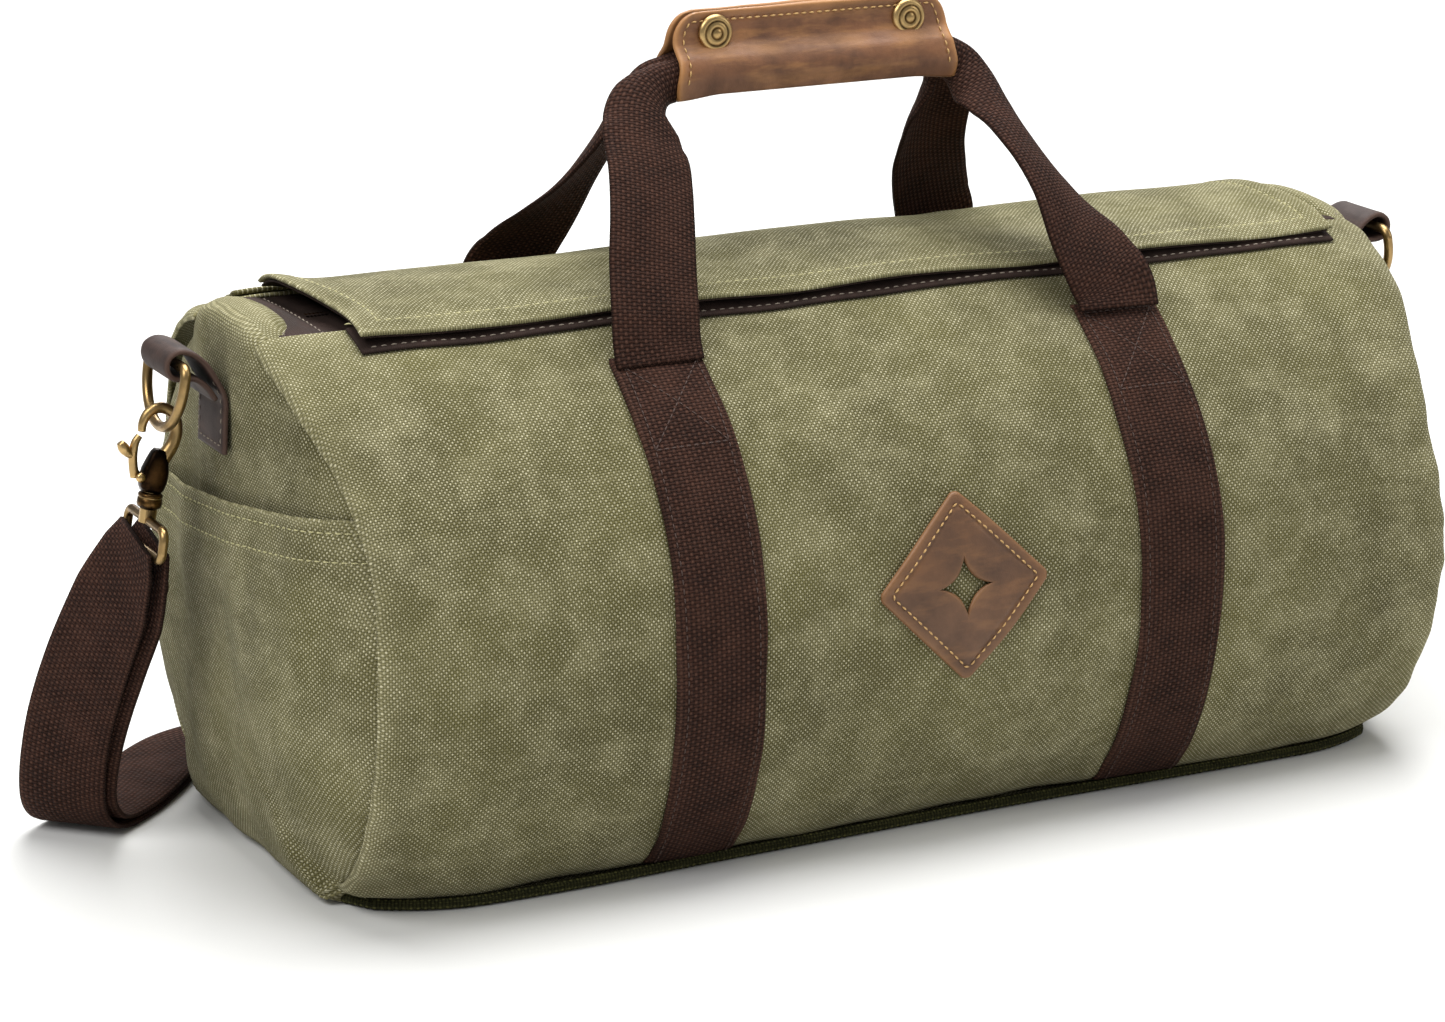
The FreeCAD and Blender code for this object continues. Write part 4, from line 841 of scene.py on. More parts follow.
# a rectangle whose corners are drawn in to a radius
BOARD_HALF = (234, 80)
BOARD_CORNER = 20
board_x, board_y = np.meshgrid(np.linspace(-BOARD_HALF[0], BOARD_HALF[0], 60),
                               np.linspace(-BOARD_HALF[1], BOARD_HALF[1], 24), indexing="ij")
past_x = np.maximum(np.abs(board_x) - (BOARD_HALF[0] - BOARD_CORNER), 0)
past_y = np.maximum(np.abs(board_y) - (BOARD_HALF[1] - BOARD_CORNER), 0)
drawn_in = 1 - np.minimum(1.0, BOARD_CORNER / np.maximum(np.hypot(past_x, past_y), 1e-6))
board_x = board_x - np.sign(board_x) * past_x * drawn_in
board_y = board_y - np.sign(board_y) * past_y * drawn_in
board = shell("base_board_sheet", np.stack([board_x, board_y, np.full(board_x.shape, 7.2)], axis=-1), 3.2,
              BOARD, inside=(0, 0, -50))
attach(board, "bag")
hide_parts("base_board")

# ---- lining: a bag inside the bag, open under the zip ----
# how far out the lining's corners lie at each end, behind the end panel's edge
LINING_RIM = {-1: 235.5, 1: 229.0}
share = np.linspace(-1, 1, 120)
turn = np.linspace(-90, 70, 60)
radius = np.minimum(122.5, (AXIS - 3.6) / np.maximum(np.sin(np.radians(-np.minimum(turn, -1))), 0.2))
bits = []
for side in (-1, 1):
    x = share[:, None] * np.where(share < 0, LINING_RIM[-1], LINING_RIM[1])[:, None]
    y = side * radius * np.cos(np.radians(turn))
    z = AXIS + radius * np.sin(np.radians(turn))
    wave = np.stack(np.broadcast_arrays(x, z[None, :], side * 60.0), axis=-1)
    inward = 1.0 + 0.9 * (1 + ripple(wave, 55.0, 31))
    low = ease(z, 8, 30)
    points = np.stack(np.broadcast_arrays(x, y[None, :] - side * inward * low, z[None, :]), axis=-1)
    bits.append(shell("lining_half_%d" % side, points, 0.8, LINING))
for end_name, end in ENDS:
    turns = np.linspace(-90, 270, 120, endpoint=False)
    rise = np.sin(np.radians(turns))
    edge = np.where(rise < 0, (AXIS - 3.6) / np.maximum(-rise, 0.2), 200.0)
    edge = np.minimum(np.minimum(edge, 121.5), 120.5 / np.maximum(rise, 0.2))
    points = np.array([round_axis(end * (LINING_RIM[end] + 9.0 * (1 - s**4)), edge * s, turns)
                       for s in np.linspace(0.02, 1, 20)])
    bits.append(shell("lining_end_%d" % end, points, 0.8, LINING,
                      points[..., 1:] * MM, closed=True))
lining = merge("lining_bag", bits)
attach(lining, "bag")
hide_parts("lining")

# ---- zip: tapes, end tabs, teeth ----
TAPE_TOP = 217.6


def tape_height(y):
    """The tapes bow up a little over the opening's edges."""
    return TAPE_TOP + 0.35 * np.cos(y / 40 * math.pi / 2)


for face, side in FACES:
    x, y = np.meshgrid(np.linspace(-246, 240.5, 160), np.linspace(1.5, 39.5, 24) * side, indexing="ij")
    z = tape_height(y) - 0.3 * np.abs(ripple(np.stack([x, y * 2], axis=-1), 60.0, 41))
    tape = shell("zip_tape_" + face + "_cloth", np.stack([x, y, z], axis=-1), 0.8, ZIP_TAPE)
    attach(tape, "bag")
    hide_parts("zip_tape_" + face)
    rows = []
    for line, depth in enumerate((6.0, 30.0)):
        path = np.stack([np.linspace(-222, 222, 200), np.full(200, side * depth),
                         np.full(200, tape_height(depth))], axis=1)
        rows.append(stitch_row("tape_row", path, (0, 0, 1), DARK_THREAD, thick=0.28))
    row = merge("zip_tape_stitches_" + face, rows)
    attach(row, "bag")
    tooth_bits = []
    profile = np.array([(0.9, 0.0), (0.9, 1.9), (1.5, 2.3), (3.2, 2.2), (3.4, 0.0)])
    for i, x in enumerate(np.arange(-224.2 + (0.8 if side > 0 else 0), 224.0, 1.6)):
        front = [(x - 0.5, side * d, 217.9 + h) for d, h in profile]
        back = [(x + 0.5, side * d, 217.9 + h) for d, h in profile]
        count = len(profile)
        faces = [list(range(count)), list(range(2 * count - 1, count - 1, -1))]
        faces += [[k, k + count, (k + 1) % count + count, (k + 1) % count] for k in range(count)]
        tooth_bits.append((front + back, faces))
    teeth = joined("zip_teeth_%s_row" % face, tooth_bits, DARK_BRASS)
    teeth.data.shade_flat()
    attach(teeth, "bag")
    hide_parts("zip_teeth_" + face)


def end_band_height(out, y):
    """Height of the band across a zip's end: flat where the pull passes over it, domed further out."""
    return 220.1 + (1.3 + 3.2 * np.cos(y / 37 * math.pi / 2)) * ease(out, 225, 238)


for end_name, end in ENDS:
    near, far = (213.0, 248.5) if end < 0 else (213.0, 242.0)
    x, y = np.meshgrid(np.linspace(near, far, 40) * end, np.linspace(-37, 37, 60), indexing="ij")
    sink = np.exp(-((np.abs(x) - near - 16.5) / 0.8) ** 2) + np.exp(-((np.abs(x) - near - 33) / 0.8) ** 2)
    z = end_band_height(np.abs(x), y) - 0.35 * sink + 0.15 * ripple(np.stack([x, y], axis=-1), 30.0, 43)
    tab = shell("zip_end_band_" + end_name, np.stack([x, y, z], axis=-1), 2.2, TRIM)
    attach(tab, "bag")
    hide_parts("zip_end_tab_" + end_name)
    rows = []
    for inset in (16.5, 33.0):
        line = np.linspace(-34, 34, 60)
        out = near + inset
        path = np.stack([np.full(60, end * out), line, end_band_height(out, line)], axis=1)
        rows.append(stitch_row("band_row", path, (0, 0, 1), GREY_THREAD, thick=0.35))
    row = merge("zip_end_band_stitches_" + end_name, rows)
    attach(row, "bag")

# ---- placket below the flap's front edge ----
x = np.linspace(-222, 229, 200)
x, angle = np.meshgrid(x, np.linspace(65.9, 73.3, 16), indexing="ij")
points = on_barrel(-1, x, angle, 1.9)
placket = shell("placket_band", points, 1.6, TRIM)
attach(placket, "bag")
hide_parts("placket_front")
rows = []
for angle in (66.7, 71.0):
    line = np.linspace(-219, 226, 300)
    path = on_barrel(-1, line, angle, 2.0)
    out = unit(path - np.stack([line, np.zeros(300), np.full(300, AXIS)], axis=-1))
    rows.append(stitch_row("placket_row", path, out, GREY_THREAD, thick=0.36))
placket_rows = merge("placket_stitches", rows)
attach(placket_rows, "bag")

# ---- rain flap: canvas over a dark facing, sewn down behind the zip ----
FLAP_FRONT = 67.5
FLAP_REAR = 108.5


def flap_reach(end, angle):
    """Where the flap's short edge lies; it runs in an S from the back to the front corner."""
    along = (FLAP_REAR - angle) / (FLAP_REAR - FLAP_FRONT)
    if end < 0:
        return 227.0 - 5.0 * ease(along, 0.05, 0.95) + 2.0 * np.sin(along * 2 * math.pi)
    return 226.0 + 3.0 * along - 1.5 * np.sin(along * 2 * math.pi)


def flap_radius(x, angle):
    from_front = (angle - FLAP_FRONT) * 2.4
    from_left = flap_reach(-1, angle) + x
    from_right = flap_reach(1, angle) - x
    radius = 137.6 - 1.8 * ease(angle, 72, 84) - 1.2 * ease(angle, 98, 108.5)
    places = np.stack([x, angle * 2.4], axis=-1)
    radius = radius + 2.3 * np.exp(-((angle - 90) * 2.4 / 22) ** 2 - (x / 54) ** 4)
    radius = radius + 0.45 * ripple(places, 80.0, 51)
    radius = radius + 0.9 * np.exp(-from_front / 14) * np.sin(x / 19.0 + 0.7)
    radius = radius + 3.0 * np.exp(-((FLAP_REAR - angle) * 2.4 / 26) ** 2 - (from_left / 16) ** 2)
    radius = radius + 1.4 * np.exp(-(from_front / 16) ** 2 - (from_left / 22) ** 2)
    radius = radius - 1.5 * bell(from_left, 0, 9) * np.sin((angle - FLAP_FRONT) / 6.5)
    return radius, from_front, from_left, from_right


def flap_points(inset, lift, rows=64, columns=300):
    share = np.linspace(0, 1, columns)
    share = 0.8 * share + 0.2 * (0.5 - 0.5 * np.cos(share * math.pi))
    angle = FLAP_FRONT + inset / 2.4 + (FLAP_REAR - FLAP_FRONT - inset / 2.4) * np.linspace(0, 1, rows)
    angle = np.broadcast_to(angle[None, :], (columns, rows))
    x = (-(flap_reach(-1, angle) - inset) * (1 - share[:, None])
         + (flap_reach(1, angle) - inset) * share[:, None])
    radius, from_front, from_left, from_right = flap_radius(x, angle)
    turn = np.radians(angle)
    radius = radius + lift
    edge = np.minimum(np.minimum(from_front, from_left), from_right)
    return x, radius, turn, edge


x, radius, turn, edge = flap_points(0.0, 0.0)
radius = radius + 0.45 * ease(-edge, -10.5, -9.0) - 0.5 * bell(edge, 9.2, 0.9)
points = np.stack([x, -radius * np.cos(turn), AXIS + radius * np.sin(turn)], axis=-1)
wear_and_highlight = 0.9 * np.exp(-edge / 1.8) + 0.4 * bell(edge, 10.5, 1.5)
uv = np.stack([x, turn * RADIUS], axis=-1) * MM + (0.0, 1.3)
flap = shell("rain_flap_canvas", points, 1.8, CANVAS, uv, wear_and_highlight)
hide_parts("rain_flap")

x, radius, turn, edge = flap_points(0.8, -2.0, rows=50)
points = np.stack([x, -radius * np.cos(turn), AXIS + radius * np.sin(turn)], axis=-1)
facing = shell("flap_facing_cloth", points, 0.9, TRIM)
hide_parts("flap_facing")

line = np.linspace(-226, 222, 300)
hem_angle = np.full(300, FLAP_FRONT + 9.2 / 2.4)
hem_radius = flap_radius(line, hem_angle)[0] + 0.1
front_row = round_axis(line, hem_radius, hem_angle)
hem_angle = np.linspace(FLAP_FRONT + 3.9, FLAP_REAR - 1.5, 80)
rows = [stitch_row("flap_row", front_row, (0, -0.3, 1), CANVAS_THREAD, thick=0.36)]
for end in (-1, 1):
    line = end * (flap_reach(end, hem_angle) - 9.2)
    hem_radius = flap_radius(line, hem_angle)[0] + 0.1
    path = round_axis(line, hem_radius, hem_angle)
    rows.append(stitch_row("flap_row", path, (0, 0, 1), CANVAS_THREAD, thick=0.36))
flap_rows = merge("flap_stitches", rows)

for piece in (flap, facing, flap_rows):
    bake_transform(piece)

x, angle = np.meshgrid(np.linspace(-238, 231, 220), np.linspace(60.5, 70.5, 20), indexing="ij")
lift = 2.6 + 0.5 * ease(angle, 68.5, 70.5) - 0.4 * bell(angle, 62.2, 0.5)
lift = lift - 0.4 * bell(angle, 68.2, 0.5)
strip = shell("flap_seam_canvas", on_barrel(1, x, angle, lift), 2.0, CANVAS, None,
              0.7 * np.exp(-(angle - 60.5) / 0.8))
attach(strip, "bag")
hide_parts("flap_seam_strip")
rows = []
for angle in (62.2, 68.2):
    line = np.linspace(-236, 229, 300)
    path = on_barrel(1, line, angle, 2.8)
    rows.append(stitch_row("seam_row", path, (0, 0.4, 0.9), CANVAS_THREAD, thick=0.36))
seam_rows = merge("flap_seam_stitches", rows)
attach(seam_rows, "bag")

# ---- carry webbing, its box stitches, and the handle legs above it ----
SPACING = 106.0
WEB = 38.0
WEB_TOP = 57.0
# out, depth, height, curl, squeeze, twist in degrees, from the webbing to the grip
LEG_ROOT = ((106.0, 78.6, 204.5, 0.05, 1.0, 0), (106.0, 76.0, 210.5, 0.05, 1.0, 0))
LEG_END = ((63.0, 5.8, 302.0, 5.0, 0.62, 0), (57.0, 5.3, 304.0, 5.2, 0.6, 0))
LEGS = {
    "front_left": ((104.5, 71.0, 224, 0.1, 1.0, 0), (101.5, 63.0, 240, 0.15, 1.0, 0),
                   (96.5, 53.0, 257, 0.3, 1.0, 0), (91.0, 40.0, 273, 0.5, 1.0, 4),
                   (86.0, 25.0, 286, 1.2, 1.0, 8), (79.5, 13.0, 296, 3.0, 0.8, 6),
                   (71.0, 7.5, 300.5, 4.6, 0.65, 0)),
    "front_right": ((101.5, 71.0, 222, 0.2, 1.0, 8), (94.5, 63.0, 237, 0.4, 1.0, 24),
                    (88.5, 52.0, 254, 0.6, 1.0, 42), (83.0, 38.0, 269, 0.9, 1.0, 50),
                    (78.0, 24.0, 282, 1.8, 0.95, 46), (73.5, 13.0, 292, 3.6, 0.8, 26),
                    (68.0, 7.0, 299, 4.8, 0.65, 0)),
    "back_left": ((101.0, 68.0, 223, 0.15, 1.0, 6), (94.0, 56.5, 238, 0.3, 1.0, 20),
                  (87.5, 45.0, 253, 0.5, 1.0, 36), (82.0, 33.0, 268, 0.9, 1.0, 44),
                  (77.0, 21.5, 282, 1.8, 0.95, 40), (73.0, 12.0, 293, 3.6, 0.8, 22),
                  (68.5, 7.0, 300, 4.8, 0.65, 0)),
    "back_right": ((100.0, 69.0, 222, 0.15, 1.0, 0), (91.0, 57.0, 237, 0.4, 1.0, 0),
                   (83.0, 45.0, 252, 0.9, 1.0, 0), (78.0, 33.0, 267, 1.8, 0.95, 0),
                   (75.0, 21.5, 281, 2.8, 0.85, 0), (71.5, 12.0, 292, 4.1, 0.75, 0),
                   (68.0, 7.0, 299, 4.8, 0.65, 0))}


def web_row(side, x_start, x_end, angle_start, angle_end, lift, pitch):
    share = np.linspace(0, 1, 120)
    x = x_start + (x_end - x_start) * share
    angle = angle_start + (angle_end - angle_start) * share
    path = on_barrel(side, x, angle, lift)
    centre = np.stack([x, np.zeros(120), np.full(120, AXIS)], axis=-1)
    return stitch_row("row", path, unit(path - centre), DARK_THREAD, pitch=pitch, length=2.6,
                      thick=0.34)


def carry_webbing(face, side, end_name, end):
    name = face + "_" + end_name
    centre = end * SPACING
    across = np.linspace(-WEB / 2, WEB / 2, 13)
    angle = np.linspace(float(foot_angle(centre)) + 1.2, WEB_TOP, 130)
    x, turn = np.meshgrid(centre + across, angle, indexing="ij")
    x = x + 0.8 * np.sin(turn / 9.0 + end) * (turn < WEB_TOP)
    bow = 0.25 * np.cos((x - centre) / WEB * math.pi)
    points = on_barrel(side, x, turn, 2.1 - 0.9 * ease(-turn, 33, 39) + bow)
    uv = np.stack([x, np.radians(turn) * RADIUS], axis=-1) * MM
    wear_and_highlight = 0.5 * np.exp(-(WEB / 2 - np.abs(x - centre)) / 1.2)
    band = shell("webbing_band_" + name, points, 1.9, WEBBING, uv, wear_and_highlight)
    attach(band, "bag")
    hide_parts("webbing_" + name)
    half = WEB / 2 - 3.2
    # down each edge, a box with its two diagonals at the top
    lines = []
    for hand in (-half, half):
        lines += [(hand, hand, -41, 38, 2.3, 3.6), (hand, hand, 38, 55, 2.4, 3.0),
                  (hand, -hand, 38, 54.5, 2.5, 3.0)]
    lines += [(-half, half, level, level, 2.4, 3.0) for level in (38, 54.8)]
    rows = [web_row(side, centre + a, centre + b, *rest) for a, b, *rest in lines]
    stitches = merge("webbing_stitches_" + name, rows)
    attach(stitches, "bag")

    stations = [(end * out, side * depth, height, curl, squeeze, twist)
                for out, depth, height, curl, squeeze, twist in LEG_ROOT + LEGS[name] + LEG_END]
    route = smooth_path(stations, 90)
    travel = unit(np.gradient(route[:, :3], axis=0))
    lean = np.where(route[:, 2] < 240, 0.55, 0.55 + 0.45 * ease(route[:, 2], 240, 275))
    flat = unit(np.stack([travel[:, 2], np.zeros(90), -travel[:, 0] * lean], axis=1))
    twist = np.radians(route[:, 5:6]) * -end * side
    across = flat * np.cos(twist) + np.cross(travel, flat) * np.sin(twist)
    sections = np.array([strip_section(WEB, 2.3, max(curl, 0.02), squeeze, 16)
                         for curl, squeeze in route[:, 3:5]])
    if side > 0:
        sections[..., 1] *= -1
    leg = sweep("handle_webbing_" + name, route[:, :3], sections, WEBBING, across=across)
    return leg


for face, side in FACES:
    for end_name, end in ENDS:
        leg = carry_webbing(face, side, end_name, end)
        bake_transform(leg)
        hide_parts("handle_leg_%s_%s" % (face, end_name))

# the webbing goes on through the grip, rolled round
for face, side in FACES:
    path = np.stack([np.linspace(-56.5, 56.5, 40), np.full(40, side * 5.3),
                     305 - 0.6 * np.cos(np.linspace(-1.5, 1.5, 40))], axis=1)
    section = strip_section(WEB, 2.3, 5.2, 0.6, 16)
    if side > 0:
        section[:, 1] *= -1
    roll = sweep("handle_roll_" + face, path, section, WEBBING, across=(0, 0, 1))
    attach(roll, "handles")
    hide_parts("handle_bar_" + face)

# ---- leather grip with two snaps ----
GRIP_HALF = 64.0
GRIP_TOP = 328.7
# from a leather edge in to its stitches
INSET = 3.6
GRIP_SIDE = ((12.3, 299.4), (13.1, 302.6), (12.9, 306.4), (11.2, 310.2), (8.0, 313.4), (5.6, 316.2),
             (4.6, 319.6), (4.4, 324), (4.3, GRIP_TOP))
GRIP_FOLD = ((-9.6, 295.6), (-5.0, 294.9), (0.0, 294.7), (5.0, 294.8), (9.6, 296.0))


def grip_layer(name, side, profile):
    route = smooth_path([(y, 0, z) for y, z in profile], 60)
    down = GRIP_TOP - route[:, 2]
    rounding = np.clip(1 - down / 13.0, 0, 1)
    half = GRIP_HALF - 11.0 * (1 - np.sqrt(1 - rounding**2 * 0.999))
    flare = 1.5 * bell(route[:, 2], 300, 6)
    half = half + flare - 1.0
    share = np.linspace(-1, 1, 110)
    share = 0.85 * share + 0.15 * np.sin(share * math.pi / 2)
    x = share[:, None] * half[None, :]
    y = np.broadcast_to(side * route[:, 0], x.shape)
    z = np.broadcast_to(route[:, 2], x.shape)
    places = np.stack([x, z * 1.5, y * 0 + side * 20], axis=-1)
    normal_push = 0.5 * ripple(places, 55.0, 61) + 0.15 * ripple(places, 18.0, 62)
    ends_low = 1.6 * ease(np.abs(x), 44, 64) * bell(z, 296, 5)
    points = np.stack([x, y + side * normal_push * ease(z, 297, 304) * 0.8, z - ends_low], axis=-1)
    edge = np.minimum(half[None, :] - np.abs(x), down[None, :] * np.ones_like(x))
    groove = bell(edge, INSET, 0.8) * ease(z, 298, 304)
    points[..., 1] -= side * 0.45 * groove
    # pale rubbed edges, and a painted highlight in a band along the grip's bend near z 313
    wear_and_highlight = 0.9 * np.exp(-edge / 1.6) + 0.5 * bell(z, 313, 2.6) * (0.6 + 0.4 * ripple(places, 20, 63))
    uv = np.stack([x, z + y], axis=-1) * MM
    layer = shell(name, points, 2.2, LEATHER, uv, wear_and_highlight, (0, 0, 303))
    corner = [(half[i] - INSET, side * y, z) for i, (y, _, z) in enumerate(route)
              if z > 300 and down[i] > INSET]
    up_left = [(-h, y, z) for h, y, z in corner]
    top_line = [(t, side * route[-1, 0], GRIP_TOP - INSET) for t in np.linspace(-50, 50, 40)]
    path = np.array(up_left + top_line + corner[::-1])
    path[:, 1] += side * 0.1
    stitches = stitch_row(name + "_stitches", path, (0, side, 0.15), TAN_THREAD, pitch=3.6,
                          length=2.5, thick=0.42)
    return layer, stitches


front_layer, front_stitches = grip_layer("grip_front_leather", -1, ((11.4, 296.2),) + GRIP_SIDE)
back_layer, back_stitches = grip_layer("grip_back_leather", 1, GRIP_FOLD + GRIP_SIDE)
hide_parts("grip_front_layer")
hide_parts("grip_back_layer")
for piece in (front_layer, front_stitches):
    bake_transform(piece)
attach(back_layer, "handles")
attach(back_stitches, "handles")

SNAP_OUT = 45.0
SNAP_HEIGHT = 320.0
CAP = ((0.1, 2.9), (1.6, 2.85), (2.1, 2.45), (2.6, 2.45), (3.1, 2.8), (4.4, 2.6), (4.9, 2.2), (5.3, 2.2),
       (5.8, 2.45), (6.7, 2.2), (7.4, 1.5), (7.7, 0.8), (7.7, 0.2), (7.4, 0.0))
SOCKET = ((0.1, 1.2), (2.0, 1.2), (2.4, 2.0), (3.6, 2.1), (4.2, 1.5), (5.4, 1.3), (6.0, 0.6), (6.0, 0.0))
for end_name, end in ENDS:
    cap = lathe("snap_cap_%s_ringed" % end_name, CAP, (end * SNAP_OUT, -4.5, SNAP_HEIGHT), (0, -1, 0), BRASS)
    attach(cap, "grip_flap")
    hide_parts("snap_cap_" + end_name)
    socket = lathe("snap_socket_%s_ringed" % end_name, SOCKET, (end * SNAP_OUT, 4.3, SNAP_HEIGHT), (0, 1, 0),
                   BRASS)
    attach(socket, "handles")
    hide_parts("snap_socket_" + end_name)

# ---- leather patch: a diamond with a four-point star cut through it ----
PATCH_X = 3.0
PATCH_Z = 112.5
PATCH_HALF = 39.0
PATCH_TURN = math.degrees(math.asin((PATCH_Z - AXIS) / RADIUS))
turns = circle(240)
star = 13.0 / (np.abs(np.cos(turns)) ** (2 / 3) + np.abs(np.sin(turns)) ** (2 / 3)) ** 1.5
diamond = np.minimum(PATCH_HALF / (np.abs(np.cos(turns)) + np.abs(np.sin(turns))), PATCH_HALF - 1.5)
shares = np.linspace(0, 1, 34)


def on_patch(radius, turn, lift):
    across = radius * np.cos(turn)
    rise = radius * np.sin(turn)
    return on_barrel(-1, PATCH_X + across, PATCH_TURN + np.degrees(rise / (RADIUS + 2)), lift)


radius = star + (diamond - star) * shares[:, None]
to_edge = (diamond - radius) * 0.75
lift = 2.7 - 0.5 * bell(to_edge, 3.6, 0.7)
points = on_patch(radius, turns, lift)
uv = np.stack([radius * np.cos(turns), radius * np.sin(turns)], axis=-1) * MM
wear_and_highlight = 0.7 * np.exp(-to_edge / 1.3) + 0.5 * np.exp(-(radius - star) / 1.0)
patch = shell("leather_patch_diamond", points, 2.2, PATCH_LEATHER, uv, wear_and_highlight, closed=True)
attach(patch, "bag")
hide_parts("leather_patch")
inner = np.minimum((PATCH_HALF - 5.1) / (np.abs(np.cos(turns)) + np.abs(np.sin(turns))), PATCH_HALF - 6.0)
path = on_patch(inner, turns, 2.9)
out = unit(path - np.stack([path[:, 0], np.zeros(240), np.full(240, AXIS)], axis=-1))
patch_stitches = stitch_row("leather_patch_stitches", path, out, TAN_THREAD, pitch=3.3, length=2.3,
                            thick=0.42, closed=True)
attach(patch_stitches, "bag")

# ---- ring tabs, rings, hooks, strap eyes ----
RING_OUT = 282.0
RING_HEIGHT = 209.0
HANG = math.radians(10.0)
WIRE_DROP = 27.0


def hung(end, out, back, down):
    """A place on the hanging hook: out from and down from the ring's lowest wire."""
    drop = WIRE_DROP + down
    return (end * (RING_OUT + out * math.cos(HANG) + drop * math.sin(HANG)), back,
            RING_HEIGHT + out * math.sin(HANG) - drop * math.cos(HANG))


def ring_tab(end_name, end):
    plate = [end_face(end, 0.0, z, 1.9) for z in (171.5, 178, 186, 194)]
    stations = [(abs(p[0]), p[2]) for p in plate]
    stations += [(267.5, 202.0), (272.0, 209.0), (277.5, 213.4), (282.5, 214.6), (286.4, 212.6),
                 (287.5, 208.6), (285.6, 204.8), (281.6, 203.4), (276.6, 203.2), (271.2, 199.0),
                 (268.0, 194.0)]
    route = smooth_path([(end * out, 0, z) for out, z in stations], 80)
    wear_and_highlight = np.zeros((80, 34))
    strip = strip_section(30.0, 2.4, 0.02, 1.0, 16)
    wear_and_highlight[:, (0, 16, 17, 33)] = 0.9
    tab = sweep("ring_tab_%s_leather" % end_name, route, strip, TAB_LEATHER, across=(0, 1, 0),
                wear_and_highlight=wear_and_highlight)
    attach(tab, "bag")
    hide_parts("ring_tab_" + end_name)
    rows = []
    corners = [(-12.2, 202.0), (-12.2, 174.5), (12.2, 174.5), (12.2, 202.0)]
    for (y_start, z_start), (y_end, z_end) in zip(corners[:-1], corners[1:]):
        y = np.linspace(y_start, y_end, 30)
        z = np.linspace(z_start, z_end, 30)
        path = np.stack([np.interp(z, [171.5, 178, 186, 194, 202.0],
                                   [s[0] for s in stations[:5]]) + 1.4, y, z], axis=1)
        path[:, 0] *= end
        rows.append(stitch_row("tab_row", path, (end, 0, 0), GREY_THREAD, pitch=3.6, length=2.5,
                               thick=0.36))
    stitches = merge("ring_tab_stitches_" + end_name, rows)
    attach(stitches, "bag")


def hanging_rod(name, end, stations, count, sides):
    """A rod on the hanging hook through (out, down, radius) stations."""
    route = smooth_path([hung(end, out, 0, down) + (radius,) for out, down, radius in stations], count)
    return tube(name, route[:, :3], route[:, 3], BRASS, sides)


def hook(end_name, end):
    claw = [(-1.5, 18, 2.6), (-4.0, 12, 2.9), (-6.6, 6.5, 2.7), (-7.2, 0.4, 2.4), (-4.9, -5.2, 2.3),
            (0.2, -7.3, 2.2), (5.0, -5.2, 2.0), (7.0, -0.6, 1.8), (7.0, 2.6, 1.6)]
    bits = [hanging_rod("claw", end, claw, 60, 18)]
    body = [(9.5, 2.4, 2.4), (11.0, 3.4, 3.0), (14, 4.3, 3.5), (18, 5.4, 3.8), (22, 5.6, 3.9), (25, 5.0, 3.8),
            (26.6, 4.0, 3.4)]
    path = np.array([hung(end, -1.6 + 0.12 * (d - 9.5), 0, d) for d, w, t in body])
    turns = circle(28)
    square = 0.62
    sections = np.array([np.stack([t * np.sign(np.sin(turns)) * np.abs(np.sin(turns)) ** square,
                                   w * np.sign(np.cos(turns)) * np.abs(np.cos(turns)) ** square], axis=1)
                         for d, w, t in body])
    bits.append(sweep("block", path, sections, DARK_BRASS, across=(0, 1, 0)))
    axis = np.array(hung(end, 0, 0, 1)) - np.array(hung(end, 0, 0, 0))
    barrel = ((2.6, 26.6), (4.3, 27.0), (4.9, 27.6), (4.9, 28.4), (4.4, 28.8), (4.9, 29.2), (5.1, 31.4),
              (4.7, 32.6), (3.6, 33.2), (2.4, 33.3))
    bits.append(lathe("barrel", barrel, hung(end, 0, 0, 0), axis, BRASS, 28))
    rivet = ((0.1, 1.2), (1.2, 1.0), (1.9, 0.4), (2.0, -0.4))
    for depth in (-1, 1):
        place = hung(end, 6.2, depth * 3.7, 20.5)
        bits.append(lathe("rivet", rivet, place, (0, depth, 0), BRASS, 18))
    body_piece = merge("hook_%s_body" % end_name, bits)
    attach(body_piece, "hook_" + end_name)
    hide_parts("hook_body_" + end_name, "trigger_pin_" + end_name)

    lever = [(7.4, 21.0, 1.9), (8.8, 16.0, 1.8), (9.4, 11.0, 1.8), (8.8, 6.4, 1.6), (7.6, 4.4, 1.4)]
    thumb = [(9.0, 12.6, 1.6), (11.4, 11.6, 1.9), (13.8, 9.4, 2.2), (15.2, 7.6, 1.5)]
    bits = [hanging_rod("lever", end, lever, 30, 14), hanging_rod("thumb", end, thumb, 20, 14)]
    trigger = merge("trigger_%s_lever" % end_name, bits)
    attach(trigger, "trigger_" + end_name)
    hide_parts("trigger_" + end_name)
    return body_piece, trigger


hooks = {}
for end_name, end in ENDS:
    ring_tab(end_name, end)
    hooks[end_name] = hook(end_name, end)
metals = {"%s_%s" % (kind, end_name): BRASS for kind in ("d_ring", "strap_eye", "zip_slider", "zip_pull")
          for end_name, end in ENDS}
metals["strap_slider"] = DARK_BRASS
for node, metal in metals.items():
    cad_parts[node].data.materials.clear()
    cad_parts[node].data.materials.append(metal)

# ---- shoulder strap ----
STRAP = 0.038
STRAP_THICK = 2.4
